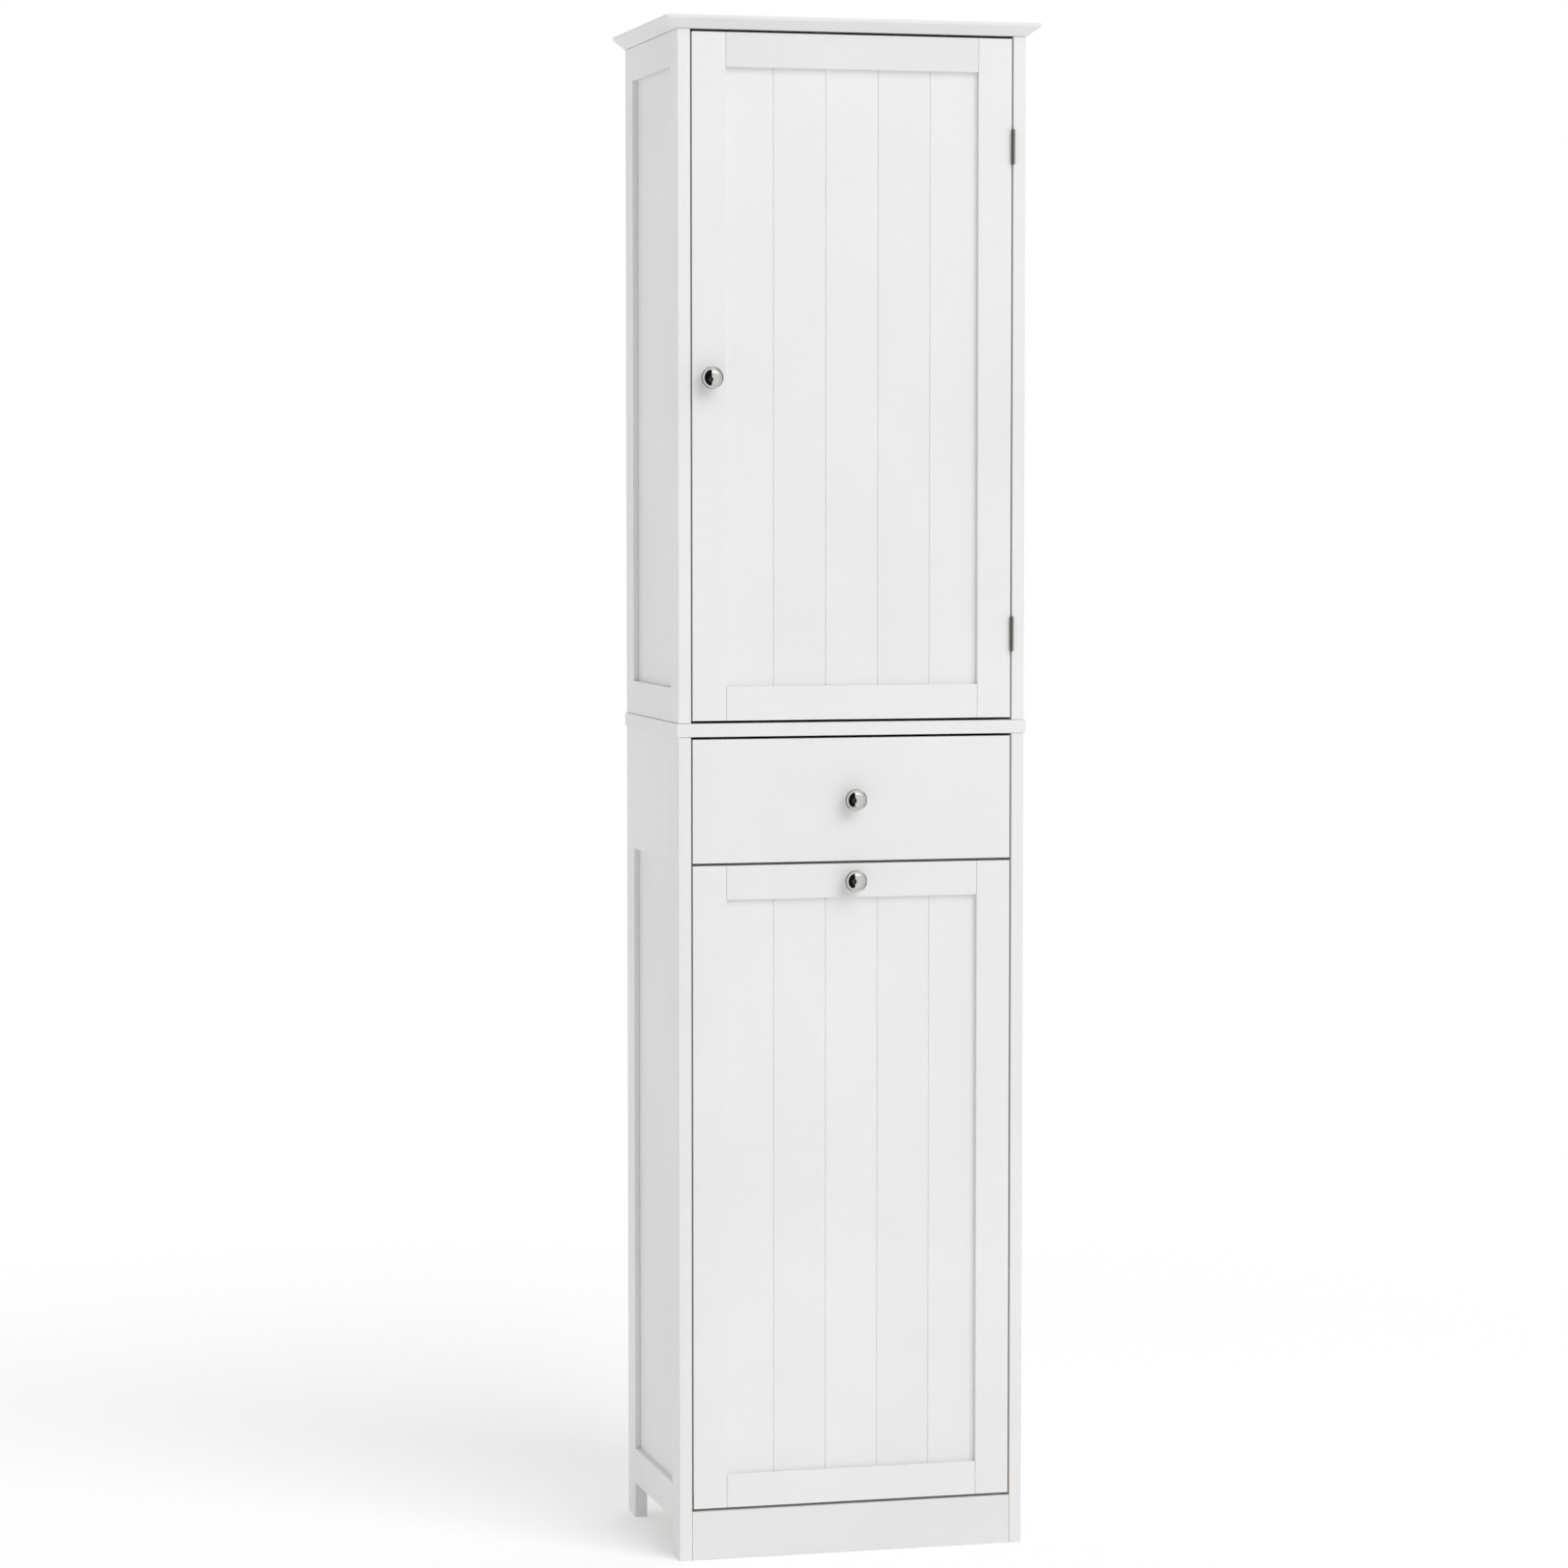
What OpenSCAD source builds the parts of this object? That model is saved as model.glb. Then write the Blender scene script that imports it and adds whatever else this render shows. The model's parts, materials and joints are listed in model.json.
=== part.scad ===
// Tall bathroom cabinet: a cupboard over a drawer and a tilt-out laundry hamper.
// Millimetres. X runs to the viewer's right, Y to the back and Z up. The floor is Z = 0.

/* [Cabinet] */
// Height from the floor to the top of the crown board
cabinet_h = 1700; // [1600:5:1800]
// Width over the two side frames
carcass_w = 395; // [360:5:440]
// Depth of the side frames
carcass_d = 268; // [256:2:320]
// Height of the lower cabinet, up to the waist board
lower_h = 915.5; // [880:0.5:960]
// Gap above and below the door, the drawer front and the flap
front_gap = 3; // [2.2:0.1:3.5]
// Gap at the sides of the door, the drawer front and the flap
edge_gap = 1.9; // [1:0.1:2]
// Width of the fine line where two members of a frame meet
joint_line = 0.3; // [0.1:0.1:0.6]

/* [Crown and waist boards] */
// Thickness of the crown board
crown_t = 13.8; // [12:0.2:20]
// Height of the crown board's upright edge, above its bevel
crown_lip_h = 3.5; // [2:0.5:6]
// How far the crown board stands out at the sides
crown_over_side = 14.5; // [6:0.5:20]
// How far the crown board stands out at the front
crown_over_front = 12.5; // [6:0.5:18]
// Flat ledge left between the bevel and the carcass
crown_ledge = 1; // [0.5:0.5:3]
// Thickness of the waist board between the two cabinets
waist_t = 14.6; // [12:0.2:20]
// How far the waist board stands out at the sides
waist_over_side = 2; // [0.5:0.5:5]
// How far the waist board stands out at the front
waist_over_front = 1.5; // [0.5:0.5:4]

/* [Side frames] */
// Thickness of the side frames
side_t = 14; // [13:0.5:18]
// Width of the side frames' stiles, which go down as the legs
side_stile_w = 37; // [34:1:50]
// Height of the two rails of an upper side frame
side_rail_h = 38; // [30:1:60]
// Depth of the recess in front of a side panel
side_recess = 6; // [4:0.2:9]
// Overlap of a side panel behind its frame
rebate_w = 8; // [6:1:10]
// Clear height under the lower side rail, between the legs
leg_gap_h = 40.2; // [30:0.2:60]
// Height of the lower side rail
leg_rail_h = 40; // [30:1:60]

/* [Carcass boards] */
// Height of the plinth board
plinth_h = 54.6; // [45:0.2:70]
// Thickness of the plinth board
plinth_t = 14; // [10:1:18]
// Thickness of the bottom board
bottom_t = 14; // [10:0.5:14]
// Thickness of the board under the drawer
divider_t = 14; // [10:1:18]
// Thickness of the back panels
back_t = 4; // [3:0.5:6]
// Distance of the back panels from the rear edge of the sides
back_inset = 8; // [6:1:9]
// Depth of the grooves that hold the back panels
back_groove = 5; // [3:0.5:8]
// Height of the rail that is screwed to the wall
wall_rail_h = 60; // [40:5:90]
// Thickness of the rail that is screwed to the wall
wall_rail_t = 16; // [15:1:22]
// Distance between the two wall screw holes
wall_hole_pitch = 200; // [120:10:260]
// Diameter of the wall screw holes
wall_hole_d = 5; // [4:0.5:7]

/* [Shelves] */
// Thickness of the shelves
shelf_t = 12; // [10:1:18]
// Gap between a shelf's ends and the sides
shelf_end_gap = 1.6; // [1.6:0.1:3]
// Distance of the front shelf pins from the front edge
pin_inset_front = 24; // [22:0.5:25]
// Distance of the rear shelf pins from the rear edge
pin_inset_rear = 21; // [20:0.5:25]
// Diameter of the shelf pins
shelf_pin_d = 5; // [4:0.5:6]
// Depth of the shelf pin holes
shelf_pin_depth = 8; // [6:1:10]
// Height step between the shelf pin holes
shelf_step = 32; // [20:2:50]
// Clearance of a pin in its hole, and of a shelf over its pins
seat_gap = 0.1; // [0.05:0.05:0.3]

/* [Door and flap] */
// Thickness of the door, the drawer front and the flap
front_t = 15; // [14:0.5:17]
// Width of the stiles of the door and the flap
front_stile_w = 38; // [34:1:60]
// Height of the rails of the door and the flap
front_rail_h = 37.5; // [34:0.5:60]
// Depth of the recess in front of the grooved panel
panel_recess = 6; // [3:0.5:7]
// Thickness of the grooved panel
panel_t = 6; // [4:0.5:6.5]
// Length of a panel edge held in the frame
panel_tongue = 5; // [3:0.5:8]
// Free depth in the frame's groove beyond the panel
panel_play = 0.5; // [0.3:0.1:1]
// Number of boards that the grooved panel shows
board_count = 5; // [3:1:8]
// Width of the V grooves
vee_w = 2; // [1:0.2:4]
// Depth of the V grooves
vee_depth = 1.2; // [0.5:0.1:2]
// Height of the door knob above the door's lower edge
door_knob_rise = 375; // [200:0.5:500]

/* [Knobs] */
// Diameter of a knob
knob_d = 24.5; // [20:0.5:30]
// How far a knob stands out from the front
knob_reach = 22; // [20:0.5:30]
// Diameter of a knob's foot
knob_foot_d = 13; // [11:0.5:16]
// Diameter of a knob's neck
knob_neck_d = 8; // [7:0.5:10]
// Diameter of the knob screws
knob_screw_d = 4; // [3:0.5:5]

/* [Hinges] */
// Height of the hinges
hinge_h = 37; // [30:0.5:60]
// Distance of the upper hinge's middle from the door's top edge
hinge_from_top = 118.5; // [60:0.5:200]
// Distance of the lower hinge's middle from the door's lower edge
hinge_from_low = 93; // [60:0.5:200]
// Diameter of the hinge barrels
barrel_d = 4.2; // [4:0.1:6]
// Diameter of the hinge pins
hinge_pin_d = 2.2; // [2:0.1:2.6]
// Thickness of the hinge leaves
leaf_t = 1.2; // [0.9:0.1:1.4]
// Depth of the hinge leaves, behind the front
leaf_w = 13; // [11:0.5:14]
// Radial clearance of the hinge pins
pin_fit = 0.05; // [0.02:0.01:0.1]

/* [Drawer] */
// Height of the drawer front
drawer_front_h = 136.4; // [110:0.1:160]
// Height of the drawer sides
drawer_side_h = 108; // [60:1:120]
// Thickness of the drawer sides and back
drawer_side_t = 12; // [12:0.5:15]
// Length of the drawer box behind its front
drawer_box_l = 222; // [200:2:226]
// Thickness of the drawer bottom
drawer_bottom_t = 4; // [3:0.5:6]
// Depth of the grooves that hold the drawer bottom
drawer_groove = 4; // [3:0.5:5]
// Gap between the drawer sides and the side frames
drawer_side_gap = 4; // [3:0.5:6]
// Gap under the drawer sides
drawer_low_gap = 4; // [2:0.5:8]
// Height of the runner strips
runner_h = 14; // [10:1:18]
// Thickness of the runner strips
runner_t = 10; // [9:0.5:12]
// Clearance all round a runner strip in its groove
runner_gap = 0.5; // [0.4:0.1:1]

/* [Hamper] */
// Depth of the hamper box behind the flap
hamper_d = 215; // [180:1:222]
// Thickness of the hamper boards
hamper_t = 9; // [6:0.5:12]
// Radius of the hamper cheeks' curved top, about the pivot
hamper_r = 600; // [450:5:640]
// Gap between the hamper cheeks and the side frames
hamper_side_gap = 3.5; // [3:0.5:6]
// Distance of the flap's pivot behind its front face
pivot_inset = 5.5; // [5:0.1:5.8]
// Height of the flap's pivot above its lower edge
pivot_rise = 7.3; // [7:0.1:10]
// Diameter of the pivot pins
pivot_pin_d = 4; // [3:0.5:5]
// Length of the pivot pins inside the flap
pivot_pin_l = 18; // [12:1:24]
// Thickness of the pivot plates
pivot_plate_t = 1; // [0.5:0.1:1]
// Height of the pivot plates
pivot_plate_h = 14; // [12:0.5:15]
// Length of the pivot plates
pivot_plate_l = 36; // [30:1:36]
// Furthest tilt of the flap, set by the slots in the cheeks, degrees
flap_tilt = 35; // [20:1:35]
// Radius of the slots in the cheeks
slot_r = 320; // [300:5:340]
// Diameter of the stop pegs that run in the slots
peg_d = 8; // [6:0.5:8]
// Clearance between a stop peg and its slot
peg_gap = 0.5; // [0.3:0.1:0.8]

/* [Hidden] */
$fn = 48;
eps = 0.01;

// Planes of the carcass
front = (knob_reach - carcass_d) / 2;
back = front + carcass_d;
outer_x = carcass_w / 2;
inner_x = outer_x - side_t;
crown_z = cabinet_h - crown_t;
waist_z = lower_h + waist_t;
back_y1 = back - back_inset;
back_y0 = back_y1 - back_t;
bottom_z = plinth_h - bottom_t;

// Side frames
side_panel_t = side_t - side_recess;
stile_front_y = front + side_stile_w;
stile_back_y = back - side_stile_w;
leg_rail_z1 = leg_gap_h + leg_rail_h;

// Door, drawer front and flap
door_z0 = waist_z + front_gap;
door_z1 = crown_z - front_gap;
drawer_z1 = lower_h - front_gap;
drawer_z0 = drawer_z1 - drawer_front_h;
flap_z1 = drawer_z0 - front_gap;
flap_z0 = plinth_h + front_gap;
front_x = inner_x - edge_gap;
open_x = front_x - front_stile_w;
front_y1 = front + front_t;
panel_y0 = front + panel_recess;
panel_y1 = panel_y0 + panel_t;
frame_groove = panel_tongue + panel_play;
board_w = 2 * (open_x + panel_tongue) / board_count;
door_knob_z = door_z0 + door_knob_rise;
door_knob_x = -(front_x - front_stile_w / 2);
drawer_knob_z = (drawer_z0 + drawer_z1) / 2;
flap_knob_z = flap_z1 - front_rail_h / 2;
knob_hole_d = knob_screw_d + 0.5;

// Boards behind the fronts
divider_z = drawer_z0 - front_gap / 2 - divider_t / 2;
inside_y0 = front_y1 + 2;
side_top_rail_z = drawer_z0;
wall_rail_z = crown_z - wall_rail_h;
shelf_space = (crown_z - waist_z - 2 * shelf_t) / 3;
lower_shelf_z = waist_z + shelf_space;
upper_shelf_z = lower_shelf_z + shelf_t + shelf_space;
shelf_y0 = front_y1 + 3;
shelf_x = inner_x - shelf_end_gap;
pin_drop = shelf_pin_d / 2 + seat_gap;
pin_ys = [front + pin_inset_front, back - pin_inset_rear];
pin_collar_t = 1.2;
pin_collar_r = shelf_pin_d / 2 + 1.1;

// Hinges
leaf_gap = 0.2;
barrel_gap = 0.3;
hinge_x = inner_x - edge_gap / 2;
hinge_y = front - barrel_d / 2 - barrel_gap;
hinge_zs = [door_z1 - hinge_from_top, door_z0 + hinge_from_low];
knuckles = 5;
knuckle_h = hinge_h / knuckles;
knuckle_gap = 0.2;
leaf_hole_d = 3;

// Magnetic catch and its strike plate
catch_t = 12;
catch_d = 14;
catch_h = 46;
catch_gap = 0.3;
strike_t = 1.2;
strike_h = 36;
strike_w = 10;
strike_inset = 0.5;
strike_hole_d = 3.2;
catch_z = door_knob_z;

// Drawer
drawer_x = inner_x - drawer_side_gap;
drawer_floor = divider_z + divider_t + drawer_low_gap;
drawer_y1 = front_y1 + drawer_box_l;
drawer_bottom_z = drawer_floor + 10;
runner_z = drawer_floor + drawer_side_h / 2 + 4;
runner_y0 = front + 25;
runner_y1 = back_y0 - 3;

// Hamper and its pivot
pivot_y = front + pivot_inset;
pivot_z = flap_z0 + pivot_rise;
cheek_x = inner_x - hamper_side_gap;
hamper_y1 = front_y1 + hamper_d;
peg_y = front + 24;
peg_angle = asin((peg_y - pivot_y) / slot_r);
peg_z = pivot_z + slot_r * cos(peg_angle);
slot_w = peg_d + 2 * peg_gap;
hamper_reach = hamper_y1 - pivot_y;
hamper_back_z = pivot_z + sqrt(hamper_r * hamper_r - hamper_reach * hamper_reach);
plate_y0 = front + 1;

white = [0.95, 0.95, 0.945];
inside_white = [0.93, 0.93, 0.92];

// A board between two opposite corners
module board(low, high) {
    translate(low) cube(high - low);
}

// Draws its children for the right side, or mirrored for the left one
module for_side(side) {
    if (side < 0) mirror([1, 0, 0]) children();
    else children();
}

// Extrudes a shape drawn in X and Z along Y
module along_y(y0, y1) {
    translate([0, y1, 0]) rotate([90, 0, 0]) linear_extrude(y1 - y0) children();
}

// Extrudes a shape drawn in Y and Z along X
module along_x(x0, x1) {
    translate([x0, 0, 0]) rotate([90, 0, 90]) linear_extrude(x1 - x0) children();
}

// A round hole or pin along X, from x0 to x1
module round_x(d, x0, x1, y, z) {
    translate([x0, y, z]) rotate([0, 90, 0]) cylinder(d = d, h = x1 - x0);
}

// A round hole or pin along Y, from y0 to y1
module round_y(d, y0, y1, x, z) {
    translate([x, y1, z]) rotate([90, 0, 0]) cylinder(d = d, h = y1 - y0);
}

// Points on an arc round a centre
function arc(centre, r, a0, a1, n) =
    [for (i = [0 : n]) centre + r * [cos(a0 + (a1 - a0) * i / n), sin(a0 + (a1 - a0) * i / n)]];

// Crown board: flat top, upright lip and a bevel that returns to the carcass on three sides
module crown_board() {
    side_x = outer_x + crown_over_side;
    ledge_x = outer_x + crown_ledge;
    lip_z = cabinet_h - crown_lip_h;
    color(white) intersection() {
        along_y(front - crown_over_front, back)
            polygon([
                [-ledge_x, crown_z], [ledge_x, crown_z], [side_x, lip_z],
                [side_x, cabinet_h], [-side_x, cabinet_h], [-side_x, lip_z]
            ]);
        along_x(-side_x, side_x)
            polygon([
                [front - crown_ledge, crown_z], [back, crown_z], [back, cabinet_h],
                [front - crown_over_front, cabinet_h], [front - crown_over_front, lip_z]
            ]);
    }
}

module waist_board() {
    half_w = outer_x + waist_over_side;
    color(white) board([-half_w, front - waist_over_front, lower_h], [half_w, back, waist_z]);
}

module bottom_board() {
    color(inside_white) board([-inner_x, front + plinth_t, bottom_z], [inner_x, back_y0, plinth_h]);
}

module drawer_divider() {
    color(inside_white)
        board([-inner_x, inside_y0, divider_z], [inner_x, back_y0, divider_z + divider_t]);
}

module plinth() {
    half_w = inner_x - joint_line;
    color(white) board([-half_w, front, 0], [half_w, front + plinth_t, plinth_h]);
}

// A back panel, held in the grooves of the rear stiles
module back_panel(z0, z1) {
    half_w = inner_x + back_groove;
    color(inside_white) board([-half_w, back_y0, z0], [half_w, back_y1, z1]);
}

module upper_back_panel() {
    back_panel(waist_z, wall_rail_z + back_groove);
}

module lower_back_panel() {
    back_panel(bottom_z, lower_h);
}

// Rail under the crown board, with two holes for wall screws and a groove for the back panel
module wall_rail() {
    color(inside_white) difference() {
        board([-inner_x, back - wall_rail_t, wall_rail_z], [inner_x, back, crown_z]);
        board(
            [-inner_x - eps, back_y0, wall_rail_z - eps],
            [inner_x + eps, back_y1, wall_rail_z + back_groove]
        );
        for (side = [-1, 1])
            round_y(wall_hole_d, back - wall_rail_t - 1, back + 1, side * wall_hole_pitch / 2,
                wall_rail_z + (wall_rail_h + back_groove) / 2);
    }
}

module shelf(z) {
    color(inside_white) board([-shelf_x, shelf_y0, z], [shelf_x, back_y0 - 1, z + shelf_t]);
}

module upper_shelf() {
    shelf(upper_shelf_z);
}

module lower_shelf() {
    shelf(lower_shelf_z);
}

// A pin with a collar that stops it at the side's face
module shelf_pin(y, z) {
    pin_l = 9;
    d = shelf_pin_d - seat_gap;
    round_x(d, inner_x - pin_l, inner_x + shelf_pin_depth - 0.5, y, z);
    round_x(2 * pin_collar_r, inner_x - pin_collar_t, inner_x, y, z);
}

module shelf_pins() {
    color("silver")
        for (side = [-1, 1], y = pin_ys, z = [lower_shelf_z, upper_shelf_z])
            for_side(side) shelf_pin(y, z - pin_drop);
}

// Holes for the shelf pins: three heights at each shelf
module shelf_holes(y) {
    for (z = [lower_shelf_z, upper_shelf_z], step = [-1, 0, 1])
        round_x(shelf_pin_d, inner_x - 1, inner_x + shelf_pin_depth, y, z - pin_drop + step * shelf_step);
}

// Rebate that takes the side panel, cut in the inner face of a frame member
module rebate(y0, y1, z0, z1) {
    board([inner_x - 1, y0, z0], [inner_x + side_panel_t, y1, z1]);
}

// Front member of a side frame, as tall as z0 to z1, rebated above rebate_z
module front_member(z0, z1, rebate_z) {
    difference() {
        board([inner_x, front, z0], [outer_x, stile_front_y, z1]);
        rebate(stile_front_y - rebate_w, stile_front_y + 1, rebate_z, z1 + 1);
    }
}

// Rear member of a side frame, with the back panel's groove from groove_z up
module rear_member(z0, z1, rebate_z, groove_z) {
    difference() {
        board([inner_x, stile_back_y, z0], [outer_x, back, z1]);
        rebate(stile_back_y - 1, stile_back_y + rebate_w, rebate_z, z1 + 1);
        board([inner_x - 1, back_y0, groove_z], [inner_x + back_groove, back_y1, z1 + 1]);
    }
}

// Rail of a side frame, lapped into the stiles; side panel held at panel_z, above or below it
module side_rail(z0, z1, panel_above) {
    lap_z = panel_above ? z1 - rebate_w : z0 - 1;
    difference() {
        union() {
            board(
                [inner_x, stile_front_y + joint_line, z0],
                [outer_x, stile_back_y - joint_line, z1]
            );
            board(
                [inner_x, stile_front_y - rebate_w, z0],
                [inner_x + side_panel_t, stile_back_y + rebate_w, z1]
            );
        }
        rebate(stile_front_y - rebate_w - 1, stile_back_y + rebate_w + 1, lap_z, lap_z + rebate_w + 1);
    }
}

// Plain panel of a side frame, let in from the inside
module side_panel(z0, z1) {
    board(
        [inner_x, stile_front_y - rebate_w, z0 - rebate_w],
        [inner_x + side_panel_t, stile_back_y + rebate_w, z1 + rebate_w]
    );
}

module upper_front_stile(side) {
    color(white) for_side(side) difference() {
        front_member(waist_z, crown_z, waist_z);
        shelf_holes(pin_ys[0]);
        if (side > 0)
            for (z = hinge_zs) hinge_mortise(1, z);
    }
}

module upper_rear_stile(side) {
    color(white) for_side(side) difference() {
        rear_member(waist_z, crown_z, waist_z, waist_z);
        shelf_holes(pin_ys[1]);
    }
}

module upper_rails(side) {
    color(white) for_side(side) {
        side_rail(waist_z, waist_z + side_rail_h, true);
        side_rail(crown_z - side_rail_h, crown_z, false);
    }
}

module upper_panel(side) {
    color(white) for_side(side) side_panel(waist_z + side_rail_h, crown_z - side_rail_h);
}

module front_leg(side) {
    color(white) for_side(side) difference() {
        front_member(0, lower_h, leg_gap_h);
        round_x(peg_d, inner_x - 1, inner_x + shelf_pin_depth, peg_y, peg_z);
    }
}

module rear_leg(side) {
    color(white) for_side(side) rear_member(0, lower_h, leg_gap_h, bottom_z);
}

module lower_rails(side) {
    color(white) for_side(side) {
        side_rail(leg_gap_h, leg_rail_z1, true);
        side_rail(side_top_rail_z, lower_h, false);
    }
}

module lower_panel(side) {
    color(white) for_side(side) side_panel(leg_rail_z1, side_top_rail_z);
}

module left_upper_front_stile() { upper_front_stile(-1); }
module left_upper_rear_stile() { upper_rear_stile(-1); }
module left_upper_rails() { upper_rails(-1); }
module left_upper_panel() { upper_panel(-1); }
module right_upper_front_stile() { upper_front_stile(1); }
module right_upper_rear_stile() { upper_rear_stile(1); }
module right_upper_rails() { upper_rails(1); }
module right_upper_panel() { upper_panel(1); }
module left_front_leg() { front_leg(-1); }
module left_rear_leg() { rear_leg(-1); }
module left_lower_rails() { lower_rails(-1); }
module left_lower_panel() { lower_panel(-1); }
module right_front_leg() { front_leg(1); }
module right_rear_leg() { rear_leg(1); }
module right_lower_rails() { lower_rails(1); }
module right_lower_panel() { lower_panel(1); }

// Strip on the side frame that runs in the groove of the drawer side; its front end is tapered
module drawer_runner(side) {
    taper = 8;
    slim = 2.5;
    x0 = inner_x - runner_t;
    color("gainsboro") for_side(side) along_x(x0, inner_x)
        polygon([
            [runner_y0, runner_z - runner_h / 2 + slim],
            [runner_y0 + taper, runner_z - runner_h / 2],
            [runner_y1, runner_z - runner_h / 2],
            [runner_y1, runner_z + runner_h / 2],
            [runner_y0 + taper, runner_z + runner_h / 2],
            [runner_y0, runner_z + runner_h / 2 - slim]
        ]);
}

module left_drawer_runner() { drawer_runner(-1); }
module right_drawer_runner() { drawer_runner(1); }

// Magnetic catch on the left side frame, behind the door's free edge
module door_catch() {
    y0 = front_y1 + strike_t + catch_gap;
    pole_d = 1.5;
    color("whitesmoke") difference() {
        board(
            [-inner_x, y0, catch_z - catch_h / 2],
            [-inner_x + catch_t, y0 + catch_d, catch_z + catch_h / 2]
        );
        board(
            [-inner_x + catch_t / 2 - 2, y0 - 1, catch_z - strike_h / 2],
            [-inner_x + catch_t / 2 + 2, y0 + pole_d, catch_z + strike_h / 2]
        );
    }
}

// Space that a hinge leaf takes in the board it is let into; side is 1 for the side frame
module hinge_mortise(side, z) {
    x0 = hinge_x + side * leaf_gap / 2;
    x1 = hinge_x + side * (leaf_gap / 2 + leaf_t);
    board([min(x0, x1), front - 1, z - hinge_h / 2], [max(x0, x1), front + leaf_w, z + hinge_h / 2]);
}

// Hinge leaf with its knuckles: every second one, starting at first
module hinge_leaf(side, first, z) {
    x0 = hinge_x + side * leaf_gap / 2;
    x1 = hinge_x + side * (leaf_gap / 2 + leaf_t);
    low = z - hinge_h / 2;
    bore_d = hinge_pin_d + 2 * pin_fit;
    difference() {
        union() {
            board([min(x0, x1), front, low], [max(x0, x1), front + leaf_w, low + hinge_h]);
            for (i = [first : 2 : knuckles - 1]) {
                z0 = low + i * knuckle_h + (i > 0 ? knuckle_gap / 2 : 0);
                z1 = low + (i + 1) * knuckle_h - (i < knuckles - 1 ? knuckle_gap / 2 : 0);
                translate([hinge_x, hinge_y, z0]) cylinder(d = barrel_d, h = z1 - z0);
                board([min(x0, x1), hinge_y, z0], [max(x0, x1), front + 1, z1]);
            }
        }
        translate([hinge_x, hinge_y, low - 1]) cylinder(d = bore_d, h = hinge_h + 2);
        for (dz = [-hinge_h / 4, hinge_h / 4])
            round_x(leaf_hole_d, hinge_x - leaf_t - 1, hinge_x + leaf_t + 1, front + leaf_w * 0.55, z + dz);
    }
}

module hinge_frame_leaves() {
    color("silver") for (z = hinge_zs) hinge_leaf(1, 0, z);
}

module hinge_door_leaves() {
    color("silver") for (z = hinge_zs) hinge_leaf(-1, 1, z);
}

module hinge_pins() {
    head_h = 0.8;
    color("silver") for (z = hinge_zs) translate([hinge_x, hinge_y, z - hinge_h / 2]) {
        cylinder(d = hinge_pin_d, h = hinge_h);
        translate([0, 0, -head_h]) cylinder(d = barrel_d - 0.8, h = head_h);
        translate([0, 0, hinge_h]) cylinder(d = barrel_d - 0.8, h = head_h);
    }
}

// Brass plate on the side frame with the pin that the flap turns on
module pivot_plate(side) {
    x1 = inner_x;
    x0 = inner_x - pivot_plate_t;
    r = pivot_plate_h / 2;
    hole_ys = [plate_y0 + pivot_plate_l * 0.5, plate_y0 + pivot_plate_l - r];
    color("goldenrod") for_side(side) {
        difference() {
            union() {
                board([x0, plate_y0, pivot_z - r], [x1, plate_y0 + pivot_plate_l - r, pivot_z + r]);
                round_x(pivot_plate_h, x0, x1, plate_y0 + pivot_plate_l - r, pivot_z);
            }
            for (y = hole_ys) round_x(3.2, x0 - 1, x1 + 1, y, pivot_z);
        }
        round_x(pivot_pin_d, front_x - pivot_pin_l, x1, pivot_y, pivot_z);
    }
}

module left_pivot_plate() { pivot_plate(-1); }
module right_pivot_plate() { pivot_plate(1); }

// Steel pegs in the front legs, which stop the flap at the ends of the cheeks' slots
module stop_pegs() {
    end_x = cheek_x - hamper_t - 3;
    color("silver") for (side = [-1, 1]) for_side(side)
        round_x(peg_d - seat_gap, end_x, inner_x + shelf_pin_depth - 0.5, peg_y, peg_z);
}

// Stile of the door or the flap, with the groove for the panel and the rails' tenons
module front_stile(side, z0, z1) {
    for_side(side) difference() {
        board([open_x, front, z0], [front_x, front_y1, z1]);
        board([open_x - 1, panel_y0, z0 - 1], [open_x + frame_groove, panel_y1, z1 + 1]);
    }
}

// Rail of the door or the flap; it holds the panel on its upper or its lower edge
module front_rail(z0, z1, panel_above) {
    groove_z = panel_above ? z1 - frame_groove : z0 - 1;
    difference() {
        union() {
            board([-open_x + joint_line, front, z0], [open_x - joint_line, front_y1, z1]);
            board([-open_x - frame_groove, panel_y0, z0], [open_x + frame_groove, panel_y1, z1]);
        }
        board(
            [-front_x, panel_y0, groove_z],
            [front_x, panel_y1, groove_z + frame_groove + 1]
        );
    }
}

// Panel of upright boards, shown by V grooves where they meet
module grooved_panel(z0, z1) {
    half_w = open_x + panel_tongue;
    seams = [for (i = [1 : board_count - 1]) -half_w + i * board_w];
    face = [
        for (x = seams)
            each [[x - vee_w / 2, panel_y0], [x, panel_y0 + vee_depth], [x + vee_w / 2, panel_y0]]
    ];
    translate([0, 0, z0 - panel_tongue]) linear_extrude(z1 - z0 + 2 * panel_tongue)
        polygon(concat(
            [[-half_w, panel_y0]], face,
            [[half_w, panel_y0], [half_w, panel_y1], [-half_w, panel_y1]]
        ));
}

// Hole for a knob's screw through a front
module knob_hole(x, z) {
    round_y(knob_hole_d, front - 1, front_y1 + 1, x, z);
}

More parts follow.
